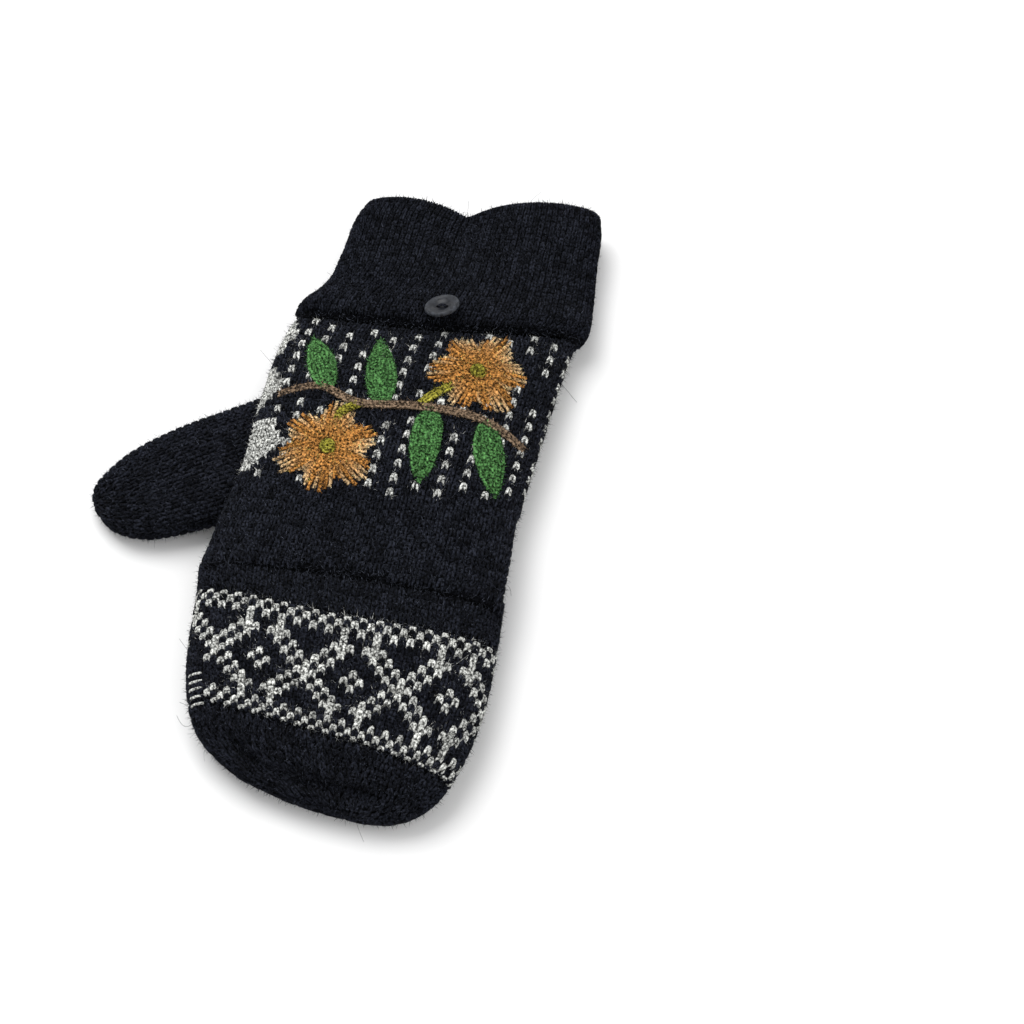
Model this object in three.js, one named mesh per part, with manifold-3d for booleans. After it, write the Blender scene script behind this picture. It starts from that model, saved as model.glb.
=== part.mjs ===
// A knitted convertible mitten for a left hand, lying back up on a flat surface.
// A ribbed cuff, a hand with a thumb and four half fingers, and a cap that is sewn
// along the knuckles and folds back to its button. Millimetres, +Z up, the cuff
// towards +Y, the cap's tip towards -Y and the thumb towards -X.
import * as THREE from "three";
import { mergeVertices } from "three/addons/utils/BufferGeometryUtils.js";
import Module from "manifold-3d";

const wasm = await Module();
wasm.setup();

// Driving dimensions.
const WALL = 2.4; // a double-thick knitted wall
const GAP = 0.3; // clearance between neighbouring pieces
const RING_POINTS = 38; // points round a body section
const THUMB_RING_POINTS = 24;
const STEP_LENGTH = 9; // the longest stretch between two lofted sections
const SQUARE_SIDES = 0.8; // under 1 makes a section's sides fuller than an ellipse's
const SQUARE_CROWN = 0.92;
const SIDE_HEIGHT = 0.46; // the widest point, as a share of a section's height
const CORNER_WIDTH = 0.62; // the lower corner's width, as a share of the section's height

// The knuckle seam, where the hand's back ends and the cap starts.
const KNUCKLE_Y = -5; // at x = 0
const KNUCKLE_SLOPE = 0.058; // the seam climbs to the right, as knitted rows do here
const HEM_REACH = 11; // how far the cap's free hem runs back under the palm
const HEM_LOW_Z = 6; // the hem's edge climbs the sides between these heights
const HEM_HIGH_Z = 17.5;
const TUCK = 2.8; // the palm's end is this much smaller, to sit inside the hem
const TUCK_TOP_Z = 18;
const TUCK_FADE = 6;

// The cuff's upper layer sags between two lobes at its edge.
const CUFF_VALLEY = { x: 3, width: 14, depth: 14.5, round: 1.2, edgeY: 162, reach: 48 };

// One row for each knitted course that shapes the piece: its left and right edge,
// the height of its underside and the height of its crown. bow is how far the course's
// middle lies ahead of its edges on the upper side, and tuck is the palm's take-in.
const CUFF_ROWS = [
  { leftX: -33.6, leftY: 155.8, rightX: 50.9, rightY: 169.0, floor: 0, crown: 26.5, bow: 2.2 },
  { leftX: -36.6, leftY: 147.0, rightX: 53.0, rightY: 160.0, floor: 0, crown: 26.2, bow: 1 },
  { leftX: -37.6, leftY: 134.0, rightX: 54.2, rightY: 147.5, floor: 0, crown: 24.2, bow: 0 },
  { leftX: -39.0, leftY: 121.5, rightX: 55.8, rightY: 136.0, floor: 0, crown: 23.4, bow: 1 },
  { leftX: -42.0, leftY: 114.0, rightX: 56.8, rightY: 128.0, floor: 0, crown: 24.0, bow: 2.6 },
  { leftX: -45.8, leftY: 107.5, rightX: 57.6, rightY: 120.5, floor: 0, crown: 26.6, bow: 4.6 },
  { leftX: -47.0, leftY: 103.0, rightX: 57.0, rightY: 116.0, floor: 0, crown: 26.4, bow: 5.6 },
  { leftX: -46.9, leftY: 99.4, rightX: 54.2, rightY: 112.4, floor: 0, crown: 23.4, bow: 6.2 },
];
const HAND_ROWS = [
  { leftX: -46.9, leftY: 99.1, rightX: 53.6, rightY: 112.1, floor: 0, crown: 23.0, bow: 6.3, tuck: 0 },
  { leftX: -48.2, leftY: 93.0, rightX: 53.2, rightY: 105.5, floor: 0, crown: 24.6, bow: 5.2, tuck: 0 },
  { leftX: -49.2, leftY: 80.0, rightX: 52.3, rightY: 91.0, floor: 0, crown: 26.8, bow: 3, tuck: 0 },
  { leftX: -49.1, leftY: 55.0, rightX: 51.3, rightY: 65.0, floor: 0, crown: 28.6, bow: 0, tuck: 0 },
  { leftX: -48.6, leftY: 31.0, rightX: 50.4, rightY: 40.0, floor: 0, crown: 28.4, bow: 0, tuck: 0 },
  { leftX: -49.6, leftY: 12.0, rightX: 52.3, rightY: 19.0, floor: TUCK, crown: 28.6, bow: 0, tuck: TUCK },
  { leftX: -50.9, leftY: -8.0, rightX: 53.6, rightY: -2.0, floor: TUCK, crown: 29.0, bow: 0, tuck: TUCK },
];
const CAP_ROWS = [
  { leftX: -51.4, leftY: 10.0, rightX: 54.6, rightY: 17.0, floor: 0, crown: 27.4 },
  { leftX: -51.2, leftY: -6.0, rightX: 55.4, rightY: 0.1, floor: 0, crown: 27.6 },
  { leftX: -48.8, leftY: -18.0, rightX: 55.8, rightY: -14.0, floor: 0, crown: 27.9 },
  { leftX: -46.2, leftY: -36.0, rightX: 55.6, rightY: -35.0, floor: 0, crown: 28.2 },
  { leftX: -43.4, leftY: -48.0, rightX: 54.6, rightY: -48.5, floor: 0.8, crown: 27.0 },
  { leftX: -39.0, leftY: -59.5, rightX: 52.0, rightY: -61.5, floor: 2.1, crown: 24.6 },
  { leftX: -32.5, leftY: -68.0, rightX: 48.6, rightY: -70.0, floor: 2.6, crown: 20.8 },
  { leftX: -20.0, leftY: -75.0, rightX: 43.0, rightY: -76.4, floor: 2.9, crown: 16.2 },
  { leftX: -4.0, leftY: -79.2, rightX: 35.5, rightY: -80.2, floor: 3.4, crown: 12.0 },
  { leftX: 7.0, leftY: -80.8, rightX: 29.0, rightY: -81.4, floor: 4.6, crown: 8.6 },
];
// The thumb's sections run from its back edge, on the cuff's side, to its front edge.
const THUMB_ROWS = [
  { leftX: -17.0, leftY: 36.0, rightX: -40.5, rightY: 72.5, floor: 0, crown: 17.5 },
  { leftX: -26.0, leftY: 30.5, rightX: -49.0, rightY: 67.2, floor: 0, crown: 17.5 },
  { leftX: -38.5, leftY: 23.0, rightX: -60.0, rightY: 59.0, floor: 0, crown: 17.5 },
  { leftX: -50.0, leftY: 15.8, rightX: -71.2, rightY: 50.8, floor: 0, crown: 17.5 },
  { leftX: -61.0, leftY: 9.6, rightX: -81.0, rightY: 42.6, floor: 0, crown: 17.0 },
  { leftX: -71.0, leftY: 5.0, rightX: -89.2, rightY: 34.2, floor: 0, crown: 16.0 },
  { leftX: -80.0, leftY: 3.6, rightX: -94.0, rightY: 27.0, floor: 0.4, crown: 14.4 },
  { leftX: -87.5, leftY: 5.2, rightX: -97.0, rightY: 21.4, floor: 1.4, crown: 12.0 },
  { leftX: -92.6, leftY: 9.0, rightX: -97.6, rightY: 17.0, floor: 3.2, crown: 9.2 },
];

// The four half fingers stand side by side on one knitted web inside the hand.
const WEB = { y: 4, thickness: 2.4 };
const FINGER = { width: 20.4, height: 15, wall: 2, floor: 6, corner: 7.2 };
const FINGERS = [
  { name: "index", x: -31.6, tipY: -26 },
  { name: "middle", x: -10.0, tipY: -30 },
  { name: "ring", x: 11.6, tipY: -27 },
  { name: "little", x: 33.2, tipY: -19 },
];

// A sewn-through button with two holes in a sunken centre, and its thread.
const BUTTON = { x: 7.1, y: 105.4, z: 29.5, tiltX: -20, tiltY: -17 };
const BUTTON_RADIUS = 6.4;
const BUTTON_RIM = 2.1;
const BUTTON_DISH_RADIUS = 3.9;
const BUTTON_DISH_DEPTH = 0.8;
const BUTTON_HOLE = { radius: 0.95, offset: 1.5 };
const THREAD_RADIUS = 0.55;
const BUTTON_SHANK = 2.3; // thread between the cuff and the back of the button

// The loop that takes the button is laid flat under the cap's tip.
const LOOP = { x: 18, y: -67.5, length: 17, width: 13, cord: 1.7 };

const mix = (a, b, t) => a + (b - a) * t;

function smooth(t) {
  const c = Math.min(1, Math.max(0, t));
  return c * c * (3 - 2 * c);
}

// A cubic through b and c that leaves for the neighbours a and d.
function throughRows(a, b, c, d, t) {
  const t2 = t * t;
  const t3 = t2 * t;
  return (
    0.5 *
    (2 * b + (c - a) * t + (2 * a - 5 * b + 4 * c - d) * t2 + (3 * b - a - 3 * c + d) * t3)
  );
}

// Adds interpolated rows to a table, so that no stretch is longer than STEP_LENGTH.
function fillRows(rows) {
  const keys = Object.keys(rows[0]);
  const filled = [];
  for (let i = 0; i + 1 < rows.length; i++) {
    const span = Math.hypot(
      (rows[i + 1].leftX + rows[i + 1].rightX - rows[i].leftX - rows[i].rightX) / 2,
      (rows[i + 1].leftY + rows[i + 1].rightY - rows[i].leftY - rows[i].rightY) / 2,
    );
    const steps = Math.ceil(span / STEP_LENGTH);
    const before = rows[Math.max(0, i - 1)];
    const after = rows[Math.min(rows.length - 1, i + 2)];
    for (let k = 0; k < steps; k++) {
      const row = {};
      for (const key of keys) {
        row[key] = throughRows(before[key], rows[i][key], rows[i + 1][key], after[key], k / steps);
      }
      row.floor = mix(rows[i].floor, rows[i + 1].floor, k / steps);
      filled.push(row);
    }
  }
  filled.push(rows[rows.length - 1]);
  return filled;
}

// A section's outline across (p) and up (z): a crowned top over a flat underside.
function sectionOutline(halfWidth, floor, crown) {
  const height = crown - floor;
  const sideZ = floor + SIDE_HEIGHT * height;
  const corner = Math.min(CORNER_WIDTH * height, 0.8 * halfWidth);
  const outline = [];
  const steps = 64;
  for (let i = 0; i <= steps; i++) {
    const a = (Math.PI * i) / steps;
    const c = Math.cos(a);
    outline.push([
      halfWidth * Math.sign(c) * Math.abs(c) ** SQUARE_SIDES,
      sideZ + (crown - sideZ) * Math.sin(a) ** SQUARE_CROWN,
    ]);
  }
  const arcSteps = 16;
  for (const side of [-1, 1]) {
    for (let i = 1; i <= arcSteps; i++) {
      const a = (Math.PI / 2) * (side < 0 ? i / arcSteps : 1 - i / arcSteps);
      outline.push([
        side * (halfWidth - corner + corner * Math.cos(a)),
        sideZ - (sideZ - floor) * Math.sin(a),
      ]);
    }
  }
  return outline;
}

// Spreads a number of points evenly along a closed outline.
function evenPoints(outline, count) {
  const lengths = [0];
  for (let i = 0; i < outline.length; i++) {
    const [p, z] = outline[i];
    const [q, w] = outline[(i + 1) % outline.length];
    lengths.push(lengths[i] + Math.hypot(q - p, w - z));
  }
  const points = [];
  let at = 0;
  for (let k = 0; k < count; k++) {
    const wanted = (lengths[outline.length] * k) / count;
    while (lengths[at + 1] < wanted) at++;
    const t = (wanted - lengths[at]) / Math.max(1e-9, lengths[at + 1] - lengths[at]);
    const [p, z] = outline[at];
    const [q, w] = outline[(at + 1) % outline.length];
    points.push([mix(p, q, t), mix(z, w, t)]);
  }
  return points;
}

// Moves each point of a closed outline inwards; a negative distance moves it out.
function insetOutline(points, distance) {
  return points.map((point, i) => {
    const before = points[(i + points.length - 1) % points.length];
    const after = points[(i + 1) % points.length];
    const dp = after[0] - before[0];
    const dz = after[1] - before[1];
    const length = Math.hypot(dp, dz);
    return [point[0] - (distance * dz) / length, point[1] + (distance * dp) / length];
  });
}

// One section of a row as points in space. shape moves single points, after the inset.
function sectionRing(row, count, inset, shape, shift) {
  const left = new THREE.Vector2(row.leftX, row.leftY);
  const right = new THREE.Vector2(row.rightX, row.rightY);
  const halfWidth = left.distanceTo(right) / 2;
  const across = right.clone().sub(left).normalize();
  const centre = left.clone().add(right).multiplyScalar(0.5);
  const along = new THREE.Vector2(-across.y, across.x);
  centre.addScaledVector(along, shift);
  const outline = evenPoints(sectionOutline(halfWidth, row.floor, row.crown), count);
  return insetOutline(outline, inset).map(([p, z]) => {
    const tucked = (row.tuck ?? 0) * smooth((TUCK_TOP_Z - z) / TUCK_FADE);
    const inwards = p * (1 - tucked / halfWidth);
    const onTop = smooth((z / row.crown - 0.5) / 0.3);
    const bowed = (row.bow ?? 0) * (1 - (p / halfWidth) ** 2) * onTop;
    const x = centre.x + across.x * inwards;
    const y = centre.y + across.y * inwards - bowed;
    return new THREE.Vector3(x, y, z + shape(x, y, z, row));
  });
}

// The sag of the cuff's upper side, as a change of height.
function bodyRelief(x, y, z, row) {
  const onTop = smooth((z - mix(row.floor, row.crown, 0.5)) / (0.35 * (row.crown - row.floor)));
  const aside = Math.hypot(x - CUFF_VALLEY.x, CUFF_VALLEY.round) - CUFF_VALLEY.round;
  const valley =
    CUFF_VALLEY.depth *
    Math.exp(-aside / CUFF_VALLEY.width) *
    smooth(1 - (CUFF_VALLEY.edgeY - y) / CUFF_VALLEY.reach);
  return -onTop * valley;
}

const noRelief = () => 0;

// A closed solid through rings of points, with a flat fan on each end.
function loft(rings) {
  const count = rings[0].length;
  const positions = [];
  const indices = [];
  for (const ring of rings) for (const p of ring) positions.push(p.x, p.y, p.z);
  for (let i = 0; i + 1 < rings.length; i++) {
    for (let j = 0; j < count; j++) {
      const a = i * count + j;
      const b = i * count + ((j + 1) % count);
      indices.push(a, b, a + count, b, b + count, a + count);
    }
  }
  const ends = [rings[0], rings[rings.length - 1]];
  ends.forEach((ring, end) => {
    const middle = new THREE.Vector3();
    for (const p of ring) middle.addScaledVector(p, 1 / count);
    const hub = positions.length / 3;
    positions.push(middle.x, middle.y, middle.z);
    const start = end ? (rings.length - 1) * count : 0;
    for (let j = 0; j < count; j++) {
      const a = start + j;
      const b = start + ((j + 1) % count);
      if (end) indices.push(a, b, hub);
      else indices.push(b, a, hub);
    }
  });
  const geometry = new THREE.BufferGeometry();
  geometry.setAttribute("position", new THREE.Float32BufferAttribute(positions, 3));
  geometry.setIndex(indices);
  const made = toSolid(geometry);
  if (made.volume() > 0) return made;
  geometry.setIndex(indices.map((_, i) => indices[i - (i % 3) + 2 - (i % 3)]));
  return toSolid(geometry);
}

function toSolid(geometry) {
  const bare = geometry.clone();
  bare.deleteAttribute("normal");
  bare.deleteAttribute("uv");
  const merged = mergeVertices(bare, 1e-4);
  return new wasm.Manifold(
    new wasm.Mesh({
      numProp: 3,
      vertProperties: new Float32Array(merged.attributes.position.array),
      triVerts: new Uint32Array(merged.index.array),
    }),
  );
}

// The largest body of a solid; a cut may leave crumbs beside it.
function largest(solid) {
  return solid.decompose().reduce((best, s) => (s.volume() > best.volume() ? s : best));
}

function toMesh(solid, name, material) {
  const { numProp, vertProperties, triVerts } = solid.getMesh();
  const positions = new Float32Array((vertProperties.length / numProp) * 3);
  for (let i = 0; i < positions.length / 3; i++) {
    for (let k = 0; k < 3; k++) positions[3 * i + k] = vertProperties[numProp * i + k];
  }
  const geometry = new THREE.BufferGeometry();
  geometry.setAttribute("position", new THREE.BufferAttribute(positions, 3));
  geometry.setIndex(new THREE.BufferAttribute(new Uint32Array(triVerts), 1));
  geometry.computeVertexNormals();
  const mesh = new THREE.Mesh(geometry, material);
  mesh.name = name;
  return mesh;
}

// A row moved past its table's end, to carry a cut clear of the surface.
function rowBeyond(row, distance) {
  return { ...row, leftY: row.leftY + distance, rightY: row.rightY + distance };
}

function bodyRings(rows, inset, shift = () => 0) {
  const last = rows.length - 1;
  return rows.map((row, i) => sectionRing(row, RING_POINTS, inset, bodyRelief, shift(i / last)));
}

// A box in space, turned about Z with the knuckle seam.
function slantedBox(x, y, z, width, length, height) {
  const box = new THREE.BoxGeometry(width, length, height);
  box.translate(0, 0, height / 2);
  box.rotateZ(Math.atan(KNUCKLE_SLOPE));
  box.translate(x, y, z);
  return toSolid(box);
}

// The space behind the cap's open edge: straight over the back, further back
// under the palm, and climbing between the two at the sides.
function behindHem() {
  const far = 60;
  const profile = new THREE.Shape();
  profile.moveTo(0, 45);
  profile.lineTo(0, HEM_HIGH_Z);
  profile.lineTo(HEM_REACH, HEM_LOW_Z);
  profile.lineTo(HEM_REACH, -5);
  profile.lineTo(far, -5);
  profile.lineTo(far, 45);
  profile.closePath();
  const width = 200;
  const cutter = new THREE.ExtrudeGeometry(profile, { depth: width, bevelEnabled: false });
  cutter.translate(0, 0, -width / 2);
  const turn = new THREE.Matrix4().makeBasis(
    new THREE.Vector3(0, 1, 0),
    new THREE.Vector3(0, 0, 1),
    new THREE.Vector3(1, 0, 0),
  );
  cutter.applyMatrix4(turn);
  cutter.rotateZ(Math.atan(KNUCKLE_SLOPE));
  cutter.translate(0, KNUCKLE_Y - GAP, 0);
  return toSolid(cutter);
}

function buildCuff() {
  const rows = fillRows(CUFF_ROWS);
  const first = rows[0];
  const last = rows[rows.length - 1];
  const outer = loft(bodyRings(rows, 0));
  const through = [rowBeyond(first, 3), ...rows, rowBeyond(last, -3)];
  return outer.subtract(loft(bodyRings(through, WALL)));
}

function handRows() {
  return fillRows(HAND_ROWS);
}

function handOuter(grow) {
  const rows = handRows();
  const first = rows[0];
  const last = rows[rows.length - 1];
  const reach = grow > 0 ? [rowBeyond(last, -4)] : [];
  return loft(bodyRings([first, ...rows.slice(1), ...reach], -grow));
}

function thumbRings(inset) {
  const rows = fillRows(THUMB_ROWS);
  const last = rows.length - 1;
  const used = inset > 0 ? rows.slice(0, last) : rows;
  return used.map((row, i) =>
    sectionRing(row, THUMB_RING_POINTS, inset, noRelief, -inset * smooth((i / last - 0.6) / 0.4)),
  );
}

function buildHand() {
  const rows = handRows();
  const first = rows[0];
  const last = rows[rows.length - 1];
  const through = [rowBeyond(first, 3), ...rows, rowBeyond(last, -6)];
  const front = slantedBox(0, KNUCKLE_Y - 50, -5, 200, 100, 60);
  return handOuter(0)
    .subtract(loft(bodyRings(through, WALL)))
    .subtract(front)
    .subtract(loft(thumbRings(WALL)));
}

function buildThumb() {
  const shell = loft(thumbRings(0)).subtract(loft(thumbRings(WALL)));
  return largest(shell.subtract(handOuter(GAP)));
}

function buildCap() {
  const rows = fillRows(CAP_ROWS);
  const last = rows.length - 1;
  const outer = loft(bodyRings(rows, 0));
  const inside = [rowBeyond(rows[0], 4), ...rows.slice(0, last)];
  const pulledBack = (t) => WALL * smooth((t - 0.55) / 0.45);
  const shell = outer.subtract(loft(bodyRings(inside, WALL, pulledBack)));
  const ahead = slantedBox(0, KNUCKLE_Y - GAP - 50, -5, 200, 100, 60);
  return largest(shell.subtract(behindHem()).subtract(handOuter(GAP).subtract(ahead)));
}

// A rounded tube for one finger, standing forward from the web.
function fingerTube(finger, inset, backY, frontY) {
  const half = FINGER.width / 2 - inset;
  const low = FINGER.floor + inset;
  const high = FINGER.floor + FINGER.height - inset;
  const corner = FINGER.corner - inset;
  const outline = new THREE.Shape();
  outline.moveTo(half, low + corner);
  outline.lineTo(half, high - corner);
  outline.absarc(half - corner, high - corner, corner, 0, Math.PI / 2);
  outline.lineTo(corner - half, high);
  outline.absarc(corner - half, high - corner, corner, Math.PI / 2, Math.PI);
  outline.lineTo(-half, low + corner);
  outline.absarc(corner - half, low + corner, corner, Math.PI, 1.5 * Math.PI);
  outline.lineTo(half - corner, low);
  outline.absarc(half - corner, low + corner, corner, 1.5 * Math.PI, 2 * Math.PI);
  const tube = new THREE.ExtrudeGeometry(outline, {
    depth: backY - frontY,
    bevelEnabled: false,
    curveSegments: 4,
  });
  tube.rotateX(Math.PI / 2);
  tube.translate(finger.x, backY, 0);
  tube.rotateZ(Math.atan(KNUCKLE_SLOPE));
  return toSolid(tube);
}

// A row of the hand's table at a distance behind the knuckle seam.
function handRowAt(y) {
  const rows = handRows();
  const next = rows.findIndex((row) => (row.leftY + row.rightY) / 2 < y);
  const a = rows[next - 1];
  const b = rows[next];
  const t = ((a.leftY + a.rightY) / 2 - y) / ((a.leftY + a.rightY - b.leftY - b.rightY) / 2);
  return Object.fromEntries(Object.keys(a).map((key) => [key, mix(a[key], b[key], t)]));
}

function buildFingers() {
  const front = handRowAt(WEB.y);
  const back = handRowAt(WEB.y + WEB.thickness);
  let solid = loft(bodyRings([back, front], WALL + GAP));
  for (const finger of FINGERS) {
    solid = solid.add(fingerTube(finger, 0, WEB.y + 1, finger.tipY));
  }
  for (const finger of FINGERS) {
    solid = solid.subtract(fingerTube(finger, FINGER.wall, WEB.y + 9, finger.tipY - 5));
  }
  return solid;
}

// Lays a geometry made on the XY plane on the cuff's bulge, at the button's place and tilt.
function placeButton(geometry) {
  geometry.rotateX(THREE.MathUtils.degToRad(BUTTON.tiltX));
  geometry.rotateY(THREE.MathUtils.degToRad(BUTTON.tiltY));
  geometry.translate(BUTTON.x, BUTTON.y, BUTTON.z);
  return toSolid(geometry);
}

function cylinder(radius, low, high, x, segments) {
  const made = new THREE.CylinderGeometry(radius, radius, high - low, segments);
  made.rotateX(Math.PI / 2);
  made.translate(x, 0, (low + high) / 2);
  return made;
}

function buildButton() {
  const rimStart = BUTTON_RADIUS - 0.8;
  const profile = [
    [0, 0],
    [rimStart - 0.4, 0],
    [BUTTON_RADIUS, 0.9],
    [BUTTON_RADIUS, BUTTON_RIM - 0.7],
    [rimStart, BUTTON_RIM],
    [BUTTON_DISH_RADIUS + 0.6, BUTTON_RIM],
    [BUTTON_DISH_RADIUS - 0.6, BUTTON_RIM - BUTTON_DISH_DEPTH],
    [0, BUTTON_RIM - BUTTON_DISH_DEPTH],
  ].map(([r, z]) => new THREE.Vector2(r, z));
  const disc = new THREE.LatheGeometry(profile, 40);
  disc.rotateX(Math.PI / 2);
  let solid = placeButton(disc);
  for (const side of [-1, 1]) {
    const hole = cylinder(BUTTON_HOLE.radius, -2, 4, side * BUTTON_HOLE.offset, 12);
    solid = solid.subtract(placeButton(hole));
  }
  return solid;
}

// The thread comes up through both holes and crosses the sunken centre between them.
function buildThread() {
  const dish = BUTTON_RIM - BUTTON_DISH_DEPTH;
  const bridge = new THREE.BoxGeometry(2 * BUTTON_HOLE.offset + 1.5, 1.4, 0.7);
  bridge.translate(0, 0, dish + GAP + 0.35);
  let solid = placeButton(bridge);
  for (const side of [-1, 1]) {
    const low = -BUTTON_SHANK;
    const strand = cylinder(THREAD_RADIUS, low, dish + GAP + 0.4, side * BUTTON_HOLE.offset, 8);
    solid = solid.add(placeButton(strand));
  }
  return solid;
}

// A closed loop of cord: a flat ring with straight sides, of a six-sided section.
function buildLoop() {
  const half = LOOP.width / 2 - LOOP.cord / 2;
  const straight = LOOP.length - LOOP.width;
  const ringPoints = 28;
  const rings = [];
  for (let i = 0; i < ringPoints; i++) {
    const a = (2 * Math.PI * i) / ringPoints;
    const end = Math.sin(a) >= 0 ? straight / 2 : -straight / 2;
    const middle = new THREE.Vector3(
      LOOP.x + half * Math.cos(a),
      LOOP.y + half * Math.sin(a) + end,
      LOOP.cord / 2,
    );
    const out = new THREE.Vector3(Math.cos(a), Math.sin(a), 0);
    const ring = [];
    for (let k = 0; k < 6; k++) {
      const b = (2 * Math.PI * k) / 6 + Math.PI / 6;
      ring.push(
        middle
          .clone()
          .addScaledVector(out, (LOOP.cord / 2) * Math.cos(b))
          .add(new THREE.Vector3(0, 0, (LOOP.cord / 2) * Math.sin(b))),
      );
    }
    rings.push(ring);
  }
  const positions = [];
  const indices = [];
  rings.forEach((ring, i) => {
    for (const p of ring) positions.push(p.x, p.y, p.z);
    for (let k = 0; k < 6; k++) {
      const a = i * 6 + k;
      const b = i * 6 + ((k + 1) % 6);
      const c = ((i + 1) % ringPoints) * 6 + k;
      const d = ((i + 1) % ringPoints) * 6 + ((k + 1) % 6);
      indices.push(a, c, b, b, c, d);
    }
  });
  const geometry = new THREE.BufferGeometry();
  geometry.setAttribute("position", new THREE.Float32BufferAttribute(positions, 3));
  geometry.setIndex(indices);
  return toSolid(geometry);
}

// Materials.
const blackWool = new THREE.MeshStandardMaterial({ color: 0x16171b, roughness: 0.95 });
const patternWool = new THREE.MeshStandardMaterial({ color: 0x55565a, roughness: 0.95 });
const slatePlastic = new THREE.MeshStandardMaterial({ color: 0x3d4148, roughness: 0.45 });

const mitten = new THREE.Group();
mitten.add(
  toMesh(buildCuff(), "cuff", blackWool),
  toMesh(buildHand(), "hand", patternWool),
  toMesh(buildThumb(), "thumb", blackWool),
  toMesh(buildFingers(), "half_fingers", blackWool),
  toMesh(buildCap(), "cap", patternWool),
  toMesh(buildButton(), "button", slatePlastic),
  toMesh(buildThread(), "button_thread", blackWool),
  toMesh(buildLoop(), "button_loop", blackWool),
);

// The origin is the middle of the footprint, on the surface that the mitten lies on.
const box = new THREE.Box3().setFromObject(mitten);
const middle = box.getCenter(new THREE.Vector3());
mitten.position.set(-middle.x, -middle.y, -box.min.z);

export default mitten;
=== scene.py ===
"""A knitted convertible mitten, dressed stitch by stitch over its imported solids.

The mitten lies back up with its cuff towards +Y, the cap's tip towards -Y and the
thumb towards -X. Sizes are in millimetres and are turned into metres when a mesh is made.
"""

import logging
import math
from dataclasses import dataclass, field
from enum import Enum
from typing import Callable

import bmesh
import bpy
import numpy as np
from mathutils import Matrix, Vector
from mathutils.bvhtree import BVHTree


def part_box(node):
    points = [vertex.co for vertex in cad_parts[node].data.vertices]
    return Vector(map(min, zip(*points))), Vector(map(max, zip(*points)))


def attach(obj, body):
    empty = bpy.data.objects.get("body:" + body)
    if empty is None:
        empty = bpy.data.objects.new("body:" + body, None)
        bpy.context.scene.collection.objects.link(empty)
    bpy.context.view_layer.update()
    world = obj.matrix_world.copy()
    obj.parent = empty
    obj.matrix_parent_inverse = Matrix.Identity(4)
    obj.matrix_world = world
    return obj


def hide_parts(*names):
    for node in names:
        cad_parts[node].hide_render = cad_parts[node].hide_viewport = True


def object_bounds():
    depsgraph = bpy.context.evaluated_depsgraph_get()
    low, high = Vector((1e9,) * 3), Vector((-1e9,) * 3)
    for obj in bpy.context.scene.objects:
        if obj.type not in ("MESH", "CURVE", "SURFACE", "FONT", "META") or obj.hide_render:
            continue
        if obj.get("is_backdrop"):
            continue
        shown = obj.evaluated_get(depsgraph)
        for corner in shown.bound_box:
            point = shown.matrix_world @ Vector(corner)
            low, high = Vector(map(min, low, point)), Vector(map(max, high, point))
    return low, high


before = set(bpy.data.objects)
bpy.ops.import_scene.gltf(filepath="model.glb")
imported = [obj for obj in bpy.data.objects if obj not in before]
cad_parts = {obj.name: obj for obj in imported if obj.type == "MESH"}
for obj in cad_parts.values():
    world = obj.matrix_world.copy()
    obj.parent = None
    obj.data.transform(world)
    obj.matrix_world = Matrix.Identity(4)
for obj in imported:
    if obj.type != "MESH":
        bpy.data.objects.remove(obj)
CAD_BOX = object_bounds()
LOG = logging.getLogger("mitten")

MM = 0.001
BODY = "root"
RING = 192  # samples round a tube's surface grid
STEP = 1.6  # spacing of a tube's surface grid along its length, in mm

# The solids are stored about the middle of their footprint; these two ends of the
# courses below say how far that is from the origin that the courses are measured from.
THUMB_END_X = -97.6
CUFF_END_Y = 169.0
SHIFT = np.array(
    [
        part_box("thumb")[0][0] / MM - THUMB_END_X,
        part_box("cuff")[1][1] / MM - CUFF_END_Y,
        0.0,
    ]
)

# The section's shape, as in the solids: a crowned top over a flat underside.
SQUARE_SIDES = 0.8
SQUARE_CROWN = 0.92
SIDE_HEIGHT = 0.46
CORNER_WIDTH = 0.62
CORNER_LIMIT = 0.8  # of half the width
TOP_SAMPLES = 97
CORNER_SAMPLES = 25
TUCK_TOP_Z = 18.0
TUCK_FADE = 6.0
END_REACH = 1.3  # how far a closed end reaches beyond its last course, in mm
END_RINGS = ((0.72, 0.45), (0.4, 0.8), (0.02, 1.0))  # its rings' size and place there
SOLVE_SAMPLES = 260

WALL = 2.4  # thickness of the knitted wall
WALL_SINK = 1.0  # how far the plain wall lies under the stitches' surface
WALL_LOW_Z = 0.35  # the lowest level of a wall, under its stitches
NEAR_RIM = 0.5  # how far a wall's rounded rims stand out, in mm
FAR_RIM = 0.3
STITCH_SINK = 0.55  # how far a stitch's middle lies under that surface
LOW_Z = 0.04  # the lowest level of a stitch or a fibre, just clear of the paper
DARK_YARN = 0.02  # a yarn under this brightness is uneven in tone
DARK_SPREAD = 2.5  # and this many times more so than a pale one
GAP_SHADE = 0.2  # painted shade: the wall between the stitches is this share of the black yarn

KNUCKLE_Y = -5.0
KNUCKLE_SLOPE = 0.058
HEM_REACH = 11.0
HEM_LOW_Z = 6.0
HEM_HIGH_Z = 17.5
HEM_SHIFT = 0.3


class Slot(Enum):
    """The material slots."""

    BLACK_WOOL = "black_wool"
    PATTERN_WOOL = "pattern_wool"
    BUTTON = "button_plastic"
    THREAD = "thread"


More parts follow.
